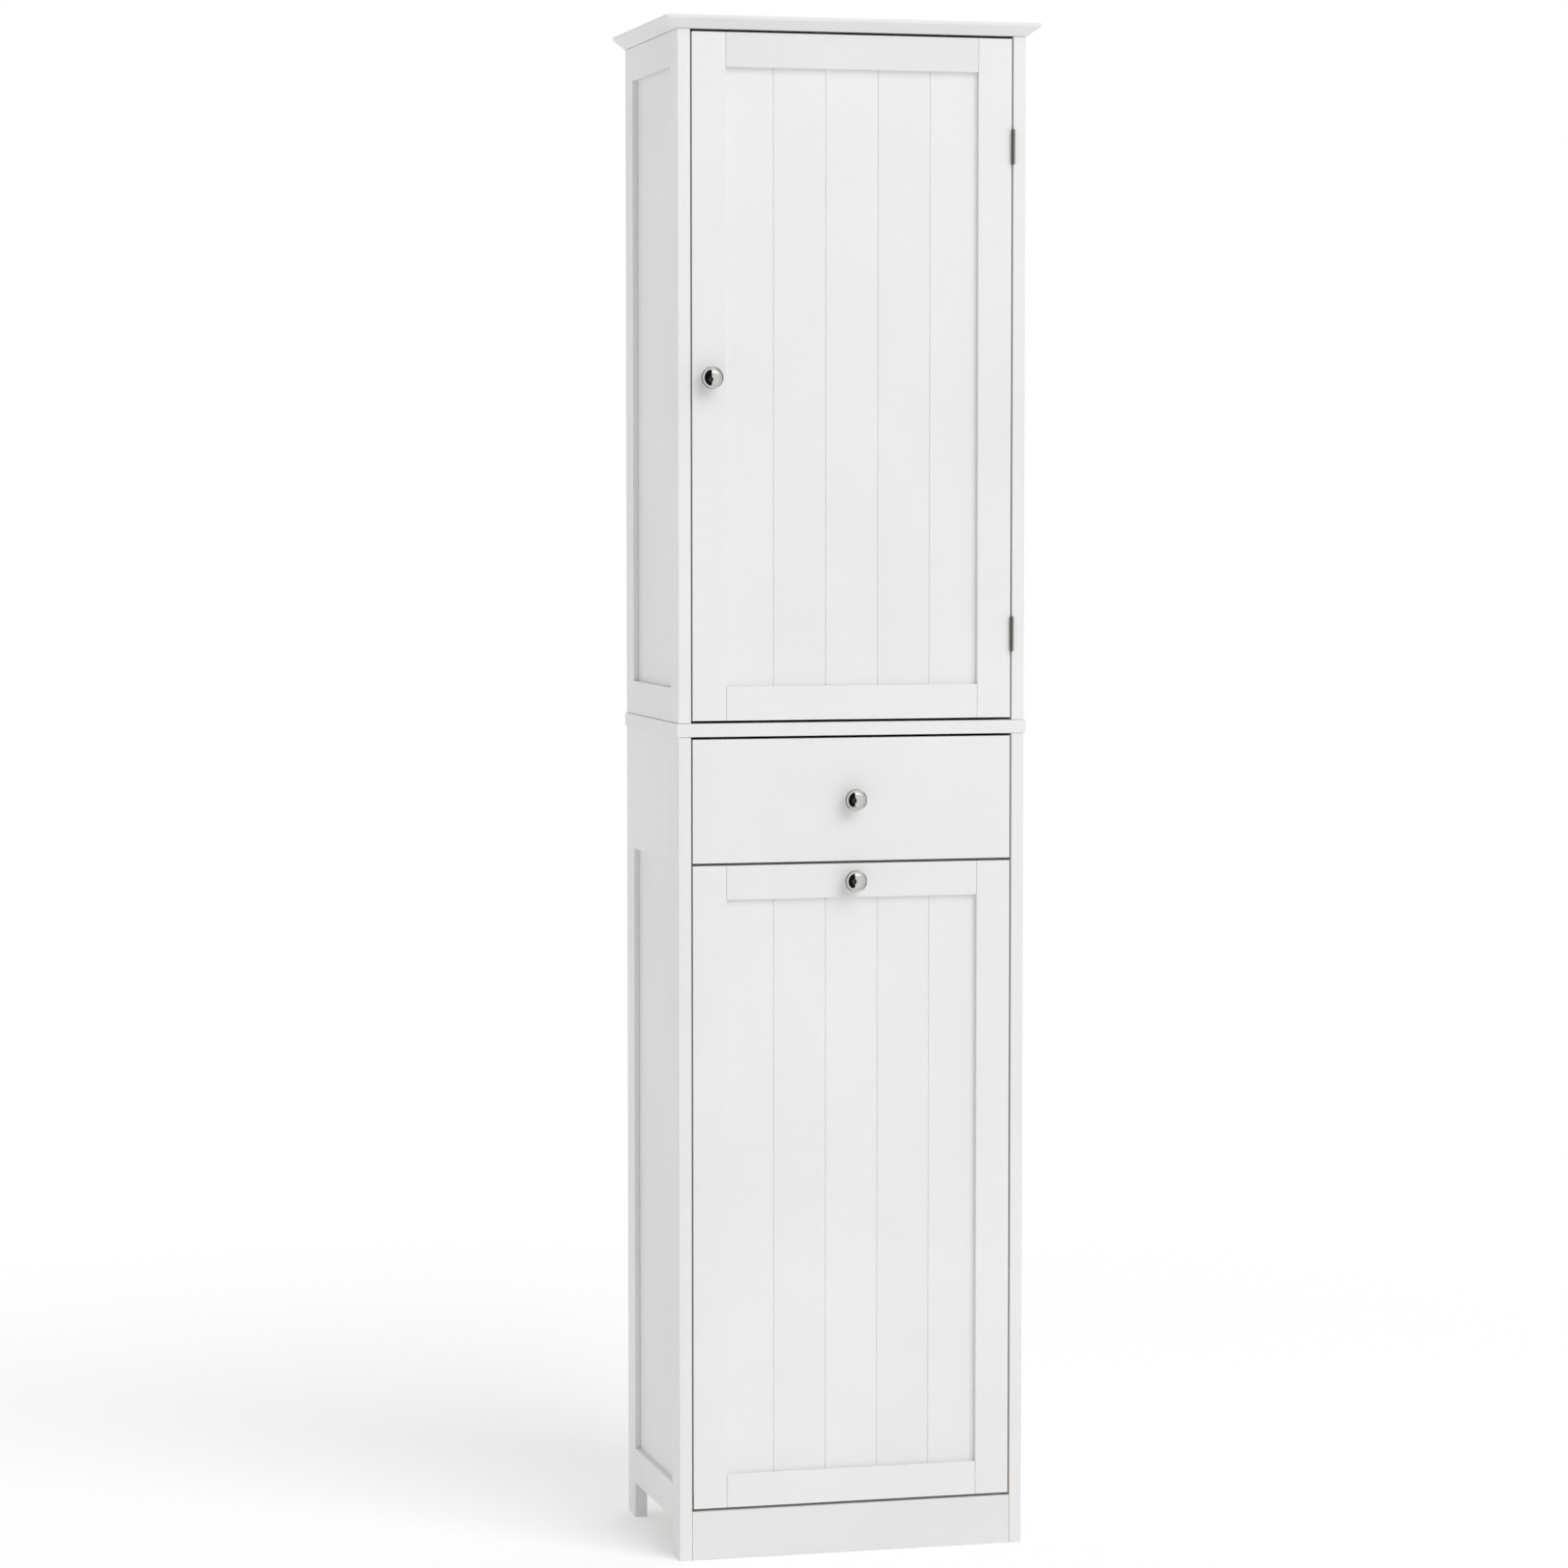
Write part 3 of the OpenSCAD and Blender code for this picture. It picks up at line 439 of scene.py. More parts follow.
def painted_board(name, light_hex, dark_hex, gloss, peel_mm, peel_depth_mm):
    """Sprayed enamel on board: two close whites, mixed by tone = tone_and_painted_shade * share + cloud, and
    a fine dimple. gloss is the shader's roughness, which the cloud moves up and down a little."""
    material, tree, shader = new_finish(name, IOR=ENAMEL_IOR)
    place = add(tree, "ShaderNodeTexCoord").outputs["Object"]
    board = add(tree, "ShaderNodeAttribute", {"attribute_name": "tone_and_painted_shade"}).outputs["Fac"]
    noise = add(tree, "ShaderNodeTexNoise", Vector=place, Scale=1 / CLOUD_SIZE, Detail=3.0)
    cloud = noise.outputs["Fac"]
    plus = {"operation": "MULTIPLY_ADD"}
    mixed = add(tree, "ShaderNodeMath", plus, _0=board, _1=TONE_SHARE, _2=cloud).outputs[0]
    low, high = TONE_RANGE
    tone = add(tree, "ShaderNodeMapRange", Value=mixed, From_Min=low, From_Max=high)
    white = add(
        tree,
        "ShaderNodeMix",
        COLOURS,
        Factor=tone.outputs["Result"],
        _6=linear(light_hex),
        _7=linear(dark_hex),
    )
    sheen = add(
        tree,
        "ShaderNodeMapRange",
        Value=cloud,
        To_Min=gloss - SHEEN_SPREAD,
        To_Max=gloss + SHEEN_SPREAD,
    )
    peel = add(tree, "ShaderNodeTexNoise", Vector=place, Scale=1 / (peel_mm * MM), Detail=1.0)
    depth = peel_depth_mm * MM
    dimple = add(
        tree, "ShaderNodeBump", Height=peel.outputs["Fac"], Strength=1.0, Distance=depth
    )
    tree.links.new(white.outputs[2], shader.inputs["Base Color"])
    tree.links.new(sheen.outputs["Result"], shader.inputs["Roughness"])
    tree.links.new(dimple.outputs["Normal"], shader.inputs["Normal"])
    return material


# The outside has two coats of satin enamel; the inside boards have one thinner, duller coat.
SATIN_ENAMEL = painted_board(
    "satin_enamel", "#F1F1F1", "#E7E7E7", gloss=0.42, peel_mm=2.0, peel_depth_mm=0.012
)
THIN_ENAMEL = painted_board(
    "thin_enamel", "#ECECEA", "#E4E4E1", gloss=0.58, peel_mm=1.2, peel_depth_mm=0.02
)
print("paints:", SATIN_ENAMEL.name, THIN_ENAMEL.name)

# %% [markdown]
# ## Metals
#
# Four metals show: chromed knobs, nickel-plated hinges and pins, zinc-plated screws, and brass
# pivot plates. Each could be a shader of its own, but they differ only in tint, blur and grain, so
# one function makes them all. Bright chrome is a mirror with a neutral grey tint and almost no
# grain. On the flank of a knob's rim it is given a darker tint, painted shade for the shadowed board
# that the flank mirrors, and it blurs what it mirrors there. Nickel and zinc plating are duller,
# over drawn or stamped steel, and brass is drawn strip with faint draw lines.


# %% Metal finishes
def plated_metal(name, tint, blur, spread, grain_mm, dent_mm, stretch=(1, 1, 1)):
    """Metal with a grain: noise, stretched along the draw, sets the roughness between
    blur - spread and blur + spread, and dents the surface by up to dent_mm."""
    material, tree, shader = new_finish(name, Base_Color=linear(tint), Metallic=1.0)
    place = add(tree, "ShaderNodeTexCoord").outputs["Object"]
    along = add(tree, "ShaderNodeMapping", Vector=place, Scale=stretch).outputs[0]
    noise = add(tree, "ShaderNodeTexNoise", Vector=along, Scale=1 / (grain_mm * MM), Detail=3.0)
    grain = noise.outputs["Fac"]
    low, high = blur - spread, blur + spread
    dull = add(tree, "ShaderNodeMapRange", Value=grain, To_Min=low, To_Max=high)
    dent = add(tree, "ShaderNodeBump", Height=grain, Strength=1.0, Distance=dent_mm * MM)
    tree.links.new(dull.outputs["Result"], shader.inputs["Roughness"])
    tree.links.new(dent.outputs["Normal"], shader.inputs["Normal"])
    return material


CHROME = plated_metal("polished_chrome", "#C7C7C5", 0.05, 0.02, grain_mm=3.0, dent_mm=0.001)
# A darker chrome for the rim's flank: painted shade for the shadowed board that the flank mirrors.
SHADED_RIM_CHROME = plated_metal("chrome_painted_dark_rim", "#6E6E6C", 0.3, 0.06, grain_mm=1.0, dent_mm=0.004)
ZINC = plated_metal("zinc_plated_steel", "#B9BBBC", 0.3, 0.06, grain_mm=0.5, dent_mm=0.01)
# A stretch below 1 draws the grain out along that axis: up the leaves, and along the brass strip.
NICKEL = plated_metal(
    "nickel_plated_steel", "#8B8985", 0.5, 0.1, grain_mm=0.6, dent_mm=0.02, stretch=(1, 1, 0.5)
)
BRASS = plated_metal(
    "drawn_brass", "#B08D4A", 0.3, 0.08, grain_mm=0.5, dent_mm=0.01, stretch=(1, 0.1, 1)
)
print("metals:", CHROME.name, SHADED_RIM_CHROME.name, ZINC.name, NICKEL.name, BRASS.name)

# %% [markdown]
# ## Moulded plastic
#
# The catch and the drawer runners are moulded nylon: milky white, faintly mottled where the melt
# cooled, with the fine spark texture of the mould. A plain white would look like the paint beside
# it, so a little light goes under the surface, and the mottling and the texture are drawn too.

# %% Nylon finish
FLOW_SIZE = 0.02
SPARK_SIZE = 0.0008
SPARK_DEPTH = 0.01 * MM
NYLON_LIGHT, NYLON_DARK = "#EEEEEA", "#E2E2DD"


def moulded_nylon(name):
    """Nylon: two close whites mixed by a slow noise, over a bump of fine noise."""
    material, tree, shader = new_finish(
        name, Roughness=0.45, IOR=1.53, Subsurface_Weight=0.1, Subsurface_Scale=1.5 * MM
    )
    place = add(tree, "ShaderNodeTexCoord").outputs["Object"]
    flow = add(tree, "ShaderNodeTexNoise", Vector=place, Scale=1 / FLOW_SIZE, Detail=2.0)
    white = add(
        tree,
        "ShaderNodeMix",
        COLOURS,
        Factor=flow.outputs["Fac"],
        _6=linear(NYLON_LIGHT),
        _7=linear(NYLON_DARK),
    )
    spark = add(tree, "ShaderNodeTexNoise", Vector=place, Scale=1 / SPARK_SIZE).outputs["Fac"]
    texture = add(tree, "ShaderNodeBump", Height=spark, Strength=1.0, Distance=SPARK_DEPTH)
    tree.links.new(white.outputs[2], shader.inputs["Base Color"])
    tree.links.new(texture.outputs["Normal"], shader.inputs["Normal"])
    return material


NYLON = moulded_nylon("moulded_nylon")
print("plastic:", NYLON.name)

# %% [markdown]
# ## Rounded edges on every board
#
# No real edge is sharp. A painted board's edge is sanded to about half a millimetre, and that thin
# round catches the light: it draws the fine bright line along the top of a rail. Each board could
# be built anew, but its shape is right already. The construction model's mesh is loose triangles,
# so each board is copied, its doubles are merged, its flat faces are joined, and a Bevel modifier
# rounds what is left sharp.


# %% Tone, seams and riding
def settle(piece, node, replaces=True):
    """Lets a piece ride on the body of a node, and stand for the node if it replaces it."""
    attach(piece, NODES[node]["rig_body"])
    if replaces:
        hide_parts(node)


def mark_tone(mesh, values):
    """Stores the tone number at each vertex, which the paint reads; on a few boards it is painted
    shade.
    """
    layer = mesh.attributes.new("tone_and_painted_shade", "FLOAT", "POINT")
    layer.data.foreach_set("value", np.asarray(values, dtype=np.float32))


def stepped(i, step=0.382):
    """A number from 0 to 1 that steps round a short cycle: the remainder of i * step by 1."""
    return (i * step) % 1.0


def shorten(mesh, foot_mm, head_mm):
    """Lifts the lowest points and lowers the highest: z + foot at the foot, z - head at the top."""
    touch = 1e-5
    points = np.empty(len(mesh.vertices) * 3, dtype=np.float32)
    mesh.vertices.foreach_get("co", points)
    height = points[2::3]
    foot, head = height.min() + touch, height.max() - touch
    height = np.where(height < foot, height + foot_mm * MM, height)
    points[2::3] = np.where(height > head, height - head_mm * MM, height)
    mesh.vertices.foreach_set("co", points)


print("first tones of the cycle:", [round(stepped(i), 2) for i in range(4)])

# %% Dressing function
SHARP = math.radians(28)
FLAT = math.radians(0.5)
DOUBLE = 1e-6
SHORTEST_ROUNDED = 6


def mark_sharp(mesh, edge_mm):
    """Merges doubles, joins coplanar faces and marks the edges to round: those whose faces turn by
    more than SHARP and that are longer than six times the round. Shorter ones, such as the rims of
    screw holes, stay crisp."""
    work = bmesh.new()
    work.from_mesh(mesh)
    bmesh.ops.remove_doubles(work, verts=work.verts, dist=DOUBLE)
    bmesh.ops.dissolve_limit(work, angle_limit=FLAT, verts=work.verts, edges=work.edges)
    weight = work.edges.layers.float.new("bevel_weight_edge")
    for face in work.faces:
        face.smooth = True
    for edge in work.edges:
        if edge.calc_face_angle(0) > SHARP:
            edge.smooth = False
            edge[weight] = float(edge.calc_length() > SHORTEST_ROUNDED * edge_mm * MM)
    work.to_mesh(mesh)
    work.free()


def dressed(node, finish, edge_mm, tone=0.0, seams_mm=(0, 0)):
    """Copies a node's mesh, rounds its long sharp edges and gives it a finish. seams_mm shortens
    the board at its foot and its head, which leaves a hairline joint to the board that it meets."""
    mesh = NODES[node].data.copy()
    mesh.name = node + "_skin"
    shorten(mesh, *seams_mm)
    mark_sharp(mesh, edge_mm)
    mesh.materials.clear()
    mesh.materials.append(finish)
    mark_tone(mesh, np.full(len(mesh.vertices), tone))
    piece = stand(node + "_skin", mesh)
    rounding = piece.modifiers.new("rounded_edges", "BEVEL")
    rounding.width = edge_mm * MM
    rounding.segments = 3
    rounding.limit_method = "WEIGHT"
    rounding.harden_normals = True
    settle(piece, node)


print("edges that turn by more than", round(math.degrees(SHARP)), "degrees are rounded")

# %% [markdown]
# ## Outside boards
#
# These boards have two coats: the crown, waist and plinth boards, the side frames, the door's and
# the flap's frames, and the drawer's front. They could all share one tone, but neighbours are set to
# differ by a hair. The door's top rail is set plainly darker than its stiles, as painted shade under
# the crown's overhang; the plinth a little less, as painted shade where the front darkens towards
# the floor; and the crown board and the waist board a little less again. The others step round a
# short cycle, so that no two that meet are quite the same. The side frames stop a hair short of the
# crown board and of the waist board: the photograph shows a fine dark line there, widest under the
# crown.

# %% Outside boards
SIDE_PARTS = (
    "upper_front_stile",
    "upper_rear_stile",
    "upper_rails",
    "upper_panel",
    "front_leg",
    "rear_leg",
    "lower_rails",
    "lower_panel",
)
OUTSIDE = [
    "crown_board",
    "waist_board",
    "plinth",
    *[f"{side}_{part}" for side in ("left", "right") for part in SIDE_PARTS],
    "door_left_stile",
    "door_right_stile",
    "door_top_rail",
    "door_low_rail",
    "drawer_front",
    "flap_left_stile",
    "flap_right_stile",
    "flap_top_rail",
    "flap_low_rail",
]
TONE_SPREAD = 0.3
TONES_AND_SHADE = {node: TONE_SPREAD * stepped(i) for i, node in enumerate(OUTSIDE)}
# The door's top rail and the plinth are darkened here as painted shade: under the crown's overhang,
# and towards the floor.
TONES_AND_SHADE |= {"door_top_rail": 1.0, "plinth": 0.75, "crown_board": 0.4, "waist_board": 0.25}
# Seams in mm at the foot and the head of a side frame's board, by how its name goes on.
SEAMS = {"upper": (0.25, 0.32), "front_leg": (0, 0.2), "rear_leg": (0, 0.2), "lower": (0, 0.2)}
BOARD_EDGE_MM = 0.45
FRAME_EDGE_MM = 0.3


def seams_of(node):
    """Seams in mm at the foot and the head of a side frame's board; none for the other boards."""
    part = node.partition("_")[2]
    return next((seams for start, seams in SEAMS.items() if part.startswith(start)), (0, 0))


for node in OUTSIDE:
    framed = node.endswith(("_stile", "_rail")) and node.startswith(("door", "flap"))
    edge_mm = FRAME_EDGE_MM if framed else BOARD_EDGE_MM
    dressed(node, SATIN_ENAMEL, edge_mm, TONES_AND_SHADE[node], seams_of(node))
print("outside boards:", len(OUTSIDE))

# %% [markdown]
# ## Inside boards
#
# Shelves, backs, the drawer's box and the hamper are thinner board with a single coat. They are
# dressed in the same way as the outside, because an open door shows them just as plainly, and
# their tones may differ more, as boards from different stacks do.

# %% Inside boards
INSIDE = [
    "bottom_board",
    "drawer_divider",
    "upper_back_panel",
    "lower_back_panel",
    "wall_rail",
    "upper_shelf",
    "lower_shelf",
    "drawer_left_side",
    "drawer_right_side",
    "drawer_back",
    "drawer_bottom",
    "hamper_left_cheek",
    "hamper_right_cheek",
    "hamper_back",
    "hamper_bottom",
]
INSIDE_EDGE_MM = 0.5
for i, node in enumerate(INSIDE):
    dressed(node, THIN_ENAMEL, INSIDE_EDGE_MM, tone=stepped(i))
print("inside boards:", len(INSIDE))

# %% [markdown]
# ## Grooved panels
#
# The door and the flap hold a panel of upright boards that meet in V grooves. Grooves could be cut
# out of a flat board, but the whole panel is one profile, carried straight up: a flat back, and a
# front whose depth follows a V at each seam. A sanded groove has soft shoulders, so the V is
# blended with the flat by a smooth maximum, which a plain cut would not give.

# %% Grooved panel
BOARD_COUNT = 5
GROOVE_WIDTH = 2.0 * MM
GROOVE_DEPTH = 1.2 * MM
SHOULDER = 0.12 * MM
# The front has points out to 1.4 groove widths from a seam, and is flat beyond 3.
SAMPLED = 1.4
SETTLED = 3
PANEL_STEP = 0.618


def groove_depth(x, seams):
    """Depth of the front at x: a V of the groove's width at each seam, smoothed where it starts.
    smooth maximum of 0 and v with softness s = (v + sqrt(v * v + s * s)) / 2."""
    away = np.abs(x[:, None] - seams[None, :]).min(axis=1)
    vee = GROOVE_DEPTH * (1 - away / (GROOVE_WIDTH / 2))
    depth = (vee + np.sqrt(vee * vee + SHOULDER * SHOULDER)) / 2
    return np.where(away < SETTLED * GROOVE_WIDTH, depth, 0)


def grooved_panel(node):
    """A closed profile in X and Y, with 25 points about each seam, carried from the panel's foot
    to its head. Each of its boards gets a tone of its own."""
    low, high = (np.array(c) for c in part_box(node))
    pitch = (high[0] - low[0]) / BOARD_COUNT
    seams = low[0] + pitch * np.arange(1, BOARD_COUNT)
    near = np.linspace(-1, 1, 25) * GROOVE_WIDTH * SAMPLED
    front_x = np.concatenate([[low[0]], (seams[:, None] + near[None, :]).ravel(), [high[0]]])
    front_y = low[1] + groove_depth(front_x, seams)
    loop = np.column_stack([front_x, front_y])
    loop = np.vstack([loop, [high[0], high[1]], [low[0], high[1]]])
    count = len(loop)
    heights = (low[2], high[2])
    points = np.concatenate([np.column_stack([loop, np.full(count, z)]) for z in heights])
    step = np.arange(count)
    caps = [step[::-1].tolist(), (step + count).tolist()]
    piece = new_piece(node + "_boards", points, grid_faces(2, count, closed=True).tolist() + caps)
    board = np.clip(((points[:, 0] - low[0]) / pitch).astype(int), 0, BOARD_COUNT - 1)
    mark_tone(piece.data, TONE_SPREAD * stepped(board, PANEL_STEP))
    piece.data.materials.append(SATIN_ENAMEL)
    settle(piece, node)
    return piece


for node in ("door_panel", "flap_panel"):
    panel = grooved_panel(node)
    print(panel.name, "faces:", len(panel.data.polygons))

# %% [markdown]
# ## Turned knobs
#
# Each knob is a chromed casting turned on a lathe: a foot, a waist, a flared bell, a rim with a
# shallow dish inside it, and a dome. The dish is why the photograph shows a white ring on the left
# and a dark one on the right. The flank of the rim gets a second, darker chrome: painted shade for
# the shadowed board beside the knob that the flank mirrors, which draws the thin grey ring round
# the knob. A ball on a stem would pass from afar, but mirrors show every fault in a curve. So the
# knob is one profile of arcs, radius against height, spun about its axis as a grid of profile
# length against angle. The two ends of the profile lie on the axis, where the grid is merged.

# %% Lathe
FOOT_LEVEL = 1e-6
POLE_DOUBLE = 1e-7


def arc(centre, radius, start, stop, count):
    """Points (r, h) on a circle round a centre, from a start to a stop angle in degrees."""
    angle = np.radians(np.linspace(start, stop, count))
    return np.column_stack([centre[0] + radius * np.cos(angle), centre[1] + radius * np.sin(angle)])


def close_up(mesh):
    """Merges doubled points at poles and seams and turns the faces outwards."""
    work = bmesh.new()
    work.from_mesh(mesh)
    bmesh.ops.remove_doubles(work, verts=work.verts, dist=POLE_DOUBLE)
    bmesh.ops.recalc_face_normals(work, faces=work.faces)
    for face in work.faces:
        face.smooth = True
    work.to_mesh(mesh)
    work.free()


def lathe(name, profile, places, out, turns=96, carve=None):
    """Spins (r, h) about a level axis: point = place + out * h + (cos a * side + sin a * up) * r.
    places is a list of feet; each gets its own closed surface in the same mesh. carve(x, y), if
    given, is a depth that is taken off every point that stands above the foot."""
    out = np.array(out, float)
    side = np.cross(out, [0, 0, 1])
    side /= np.linalg.norm(side)
    up = np.cross(out, side)
    angle = np.linspace(0, 2 * np.pi, turns, endpoint=False)
    across, along = profile[:, :1] * np.cos(angle), profile[:, :1] * np.sin(angle)
    height = np.repeat(profile[:, 1:], turns, axis=1)
    if carve:
        height = height - carve(across, along) * (height > FOOT_LEVEL)
    shape = height[..., None] * out + across[..., None] * side + along[..., None] * up
    points = shape + np.array(places, float)[:, None, None]
    rings = grid_faces(len(profile), turns, closed=True)
    faces = np.concatenate([rings + i * len(profile) * turns for i in range(len(places))])
    piece = new_piece(name, points, faces.tolist())
    close_up(piece.data)
    return piece


print("a quarter circle in three points:", arc((0, 0), 1.0, 0, 90, 3).round(2).tolist())

# %% Knob profile
KNOB_R = 12.1
KNOB_REACH = 22.0
KNOB_FOOT = [[0, 0], [6.4, 0], [6.5, 0.15], [6.5, 1.1], [6.3, 1.3]]
WAIST_CENTRE = (7.4, 4.6)
WAIST_ROUND = 3.2
BELL_LIP = 0.15
RIM_H = 15.0
RIM_ROUND = 0.5
CREST_R = 11.55
CREST_H = 17.65
CREST_ROUND = 0.25
CREST_LIP = 0.05
DISH_DROP = 0.06
DISH_DEPTH = 0.2
DISH_FOOT = 0.15
DOME_EDGE_R = 9.1
DOME_BALL_R = 11.7


def knob_profile():
    """Radius against height above the front, in metres: foot, waist, bell, rim, crest, dish and
    dome. The bell goes from the waist to the rim as t ** 1.75 in radius and t ** 0.9 in height.
    The dish deepens inwards from the crest as the fourth power of its width. The dome is a cap of
    a ball whose top stands at the knob's reach."""
    waist = arc(WAIST_CENTRE, WAIST_ROUND, -118, -190, 14)
    waist_r, waist_h = waist[-1]
    t = np.linspace(0, 1, 26)[1:]
    bell_r = waist_r + (KNOB_R - BELL_LIP - waist_r) * t**1.75
    bell_h = waist_h + (RIM_H - RIM_ROUND - waist_h) * t**0.9
    bell = np.column_stack([bell_r, bell_h])
    rim = arc((KNOB_R - RIM_ROUND, RIM_H), RIM_ROUND, -30, 8, 8)
    crest = arc((CREST_R - CREST_LIP, CREST_H - CREST_ROUND), CREST_ROUND, 8, 115, 9)
    dish_r = np.linspace(CREST_R - CREST_ROUND, DOME_EDGE_R + DISH_FOOT, 14)
    dish_t = (dish_r - dish_r[-1]) / (dish_r[0] - dish_r[-1])
    dish = np.column_stack([dish_r, CREST_H - DISH_DROP - DISH_DEPTH * (1 - dish_t**4)])
    dome_edge = np.degrees(np.arccos(DOME_EDGE_R / DOME_BALL_R))
    dome = arc((0, KNOB_REACH - DOME_BALL_R), DOME_BALL_R, dome_edge, 90, 40)
    return np.vstack([KNOB_FOOT, waist, bell, rim, crest, dish, dome]) * MM


profile = knob_profile()
print("knob profile:", len(profile), "points, out to", round(profile[:, 0].max() / MM, 2), "mm")

# %% Knobs and their screws
SCREW_R = 2.0
SCREW_HEAD_R = 4.0
SCREW_HEAD_H = 2.2
PAN_ROUND = 0.9
PAN_FLAT_R = 1.4
SCREW_TURNS = 48


def screw_profile(reach):
    """Radius against depth, in metres: a shank from the knob's foot to a pan head at the reach."""
    under = reach - SCREW_HEAD_H
    shank = [[0, 0], [SCREW_R, 0], [SCREW_R, under], [SCREW_HEAD_R, under]]
    head = arc((SCREW_HEAD_R - PAN_ROUND, reach - PAN_ROUND), PAN_ROUND, 0, 75, 8)
    return np.vstack([shank, head, [[PAN_FLAT_R, reach], [0, reach]]]) * MM


def mark_painted_dark_rim(mesh, centre):
    """Gives the second material, the darker chrome that paints the rim's shade, to the faces that
    lie further from the axis than the crest.
    """
    middles = np.empty(len(mesh.polygons) * 3, dtype=np.float32)
    mesh.polygons.foreach_get("center", middles)
    away = np.hypot(middles[0::3] - centre[0], middles[2::3] - centre[2]) / MM
    mesh.polygons.foreach_set("material_index", (away > CREST_R).astype(np.int32))


for node in ("door_knob", "drawer_knob", "flap_knob"):
    low, high = (np.array(c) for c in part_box(node))
    centre = (low + high) / 2
    foot_y = low[1] + KNOB_REACH * MM
    foot = (centre[0], foot_y, centre[2])
    knob = lathe(node + "_turned", profile, [foot], out=(0, -1, 0))
    knob.data.materials.append(CHROME)
    # The second material paints shade on the rim's flank.
    knob.data.materials.append(SHADED_RIM_CHROME)
    mark_painted_dark_rim(knob.data, centre)
    settle(knob, node)
    through = (high[1] - foot_y) / MM
    screw = lathe(node + "_screw", screw_profile(through), [foot], (0, 1, 0), SCREW_TURNS)
    screw.data.materials.append(ZINC)
    settle(screw, node)
    print(knob.name, "foot at", round(foot_y, 4), "screw", round(through, 1), "mm")

# %% [markdown]
# ## Hinges, pins, plates and plastic
#
# The small fittings are stamped, drawn or moulded. They could be built anew, but their shapes are
# right already, so they are dressed as the boards are, with finer edges: stamped steel has an edge
# of about a tenth of a millimetre, and moulded plastic has more.

# %% Fittings
# Finish, slot and edge in mm
FITTINGS = {
    "hinge_frame_leaves": (NICKEL, "steel", 0.12),
    "hinge_door_leaves": (NICKEL, "steel", 0.12),
    "hinge_pins": (NICKEL, "steel", 0.2),
    "shelf_pins": (ZINC, "steel", 0.2),
    "stop_pegs": (ZINC, "steel", 0.4),
    "strike_plate": (ZINC, "steel", 0.15),
    "left_pivot_plate": (BRASS, "brass", 0.15),
    "right_pivot_plate": (BRASS, "brass", 0.15),
    "door_catch": (NYLON, "plastic", 0.5),
    "left_drawer_runner": (NYLON, "plastic", 0.5),
    "right_drawer_runner": (NYLON, "plastic", 0.5),
}
for node, (finish, slot, edge_mm) in FITTINGS.items():
    dressed(node, finish, edge_mm)
print("fittings:", len(FITTINGS))

# %% [markdown]
# ## Screws and nails
#
# The plates and leaves are held by small countersunk screws with a cross recess, and the back panel
# is pinned with flat nails. A recess could be cut with a Boolean, but each head stays one clean
# surface when its rim and low dome are a turned profile and the recess is a depth taken off it
# wherever a point lies inside a cross. The heads end just under the face of the plate, so nothing
# rubs.

# %% Screw heads
HEAD_RINGS = 15
HEAD_RIM = 0.4
HEAD_SUNK = 0.2
RECESS_WIDTH = 0.62
RECESS_DEPTH = 0.75


def cross_recess(size_mm, depth_mm):
    """Depth at (x, y): inside a bar = the lesser of its half length minus |x| and half width minus
    |y|; the greater of two crossed bars, softened over a twentieth of the size, times the depth."""
    half, wide, soft = (size_mm * MM * share for share in (0.5, 0.11, 0.05))

    def depth(x, y):
        x, y = np.abs(x), np.abs(y)
        bar = np.maximum(np.minimum(half - x, wide - y), np.minimum(half - y, wide - x))
        return np.clip(bar / soft + 0.5, 0, 1) * depth_mm * MM

    return depth


def screw_heads(name, node, finish, places, out, head, recess=True):
    """Low domed heads at places in mm, each with a diameter and a height h in mm: radius R cos t
    against height h (0.4 + 0.6 sin t), above a rim that starts HEAD_SUNK mm under the place."""
    head_d, head_h = head
    t = np.linspace(0, np.pi / 2, HEAD_RINGS)
    height = head_h * (HEAD_RIM + (1 - HEAD_RIM) * np.sin(t))
    dome = np.column_stack([head_d / 2 * np.cos(t), height])
    profile = np.vstack([[0, -HEAD_SUNK], [head_d / 2, -HEAD_SUNK], dome]) * MM
    cut = cross_recess(head_d * RECESS_WIDTH, head_h * RECESS_DEPTH) if recess else None
    piece = lathe(name, profile, [np.array(p) * MM for p in places], out, SCREW_TURNS, cut)
    piece.data.materials.append(finish)
    settle(piece, node, replaces=False)
    print(piece.name, "heads:", len(places))


def middle(node, axis):
    """Middle of a node's box along an axis, in mm."""
    low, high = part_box(node)
    return (low[axis] + high[axis]) / 2 / MM


print("the hinges' gap is at x =", round(middle("hinge_pins", 0), 2), "mm")

# %% Screws of the hinges
HINGE_X = middle("hinge_pins", 0)
PIN_LOW, PIN_HIGH = (corner[2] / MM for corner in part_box("hinge_pins"))
# A leaf is 37 mm high, and the caps of the pin stand 0.8 mm beyond it.
LEAF_HALF = 18.5
PIN_CAP = 0.8
HINGE_HALF = LEAF_HALF + PIN_CAP
HINGE_HEIGHTS = (PIN_HIGH - HINGE_HALF, PIN_LOW + HINGE_HALF)
LEAF_FACE = 0.1
LEAF_HEAD = (2.9, 0.5)
LEAF_HEAD_FOOT = 0.6
LEAF_SCREW_Y = -115.85
LEAF_SCREW_STEP = 9.25
leaf_places = [
    (LEAF_SCREW_Y, z + dz) for z in HINGE_HEIGHTS for dz in (-LEAF_SCREW_STEP, LEAF_SCREW_STEP)
]
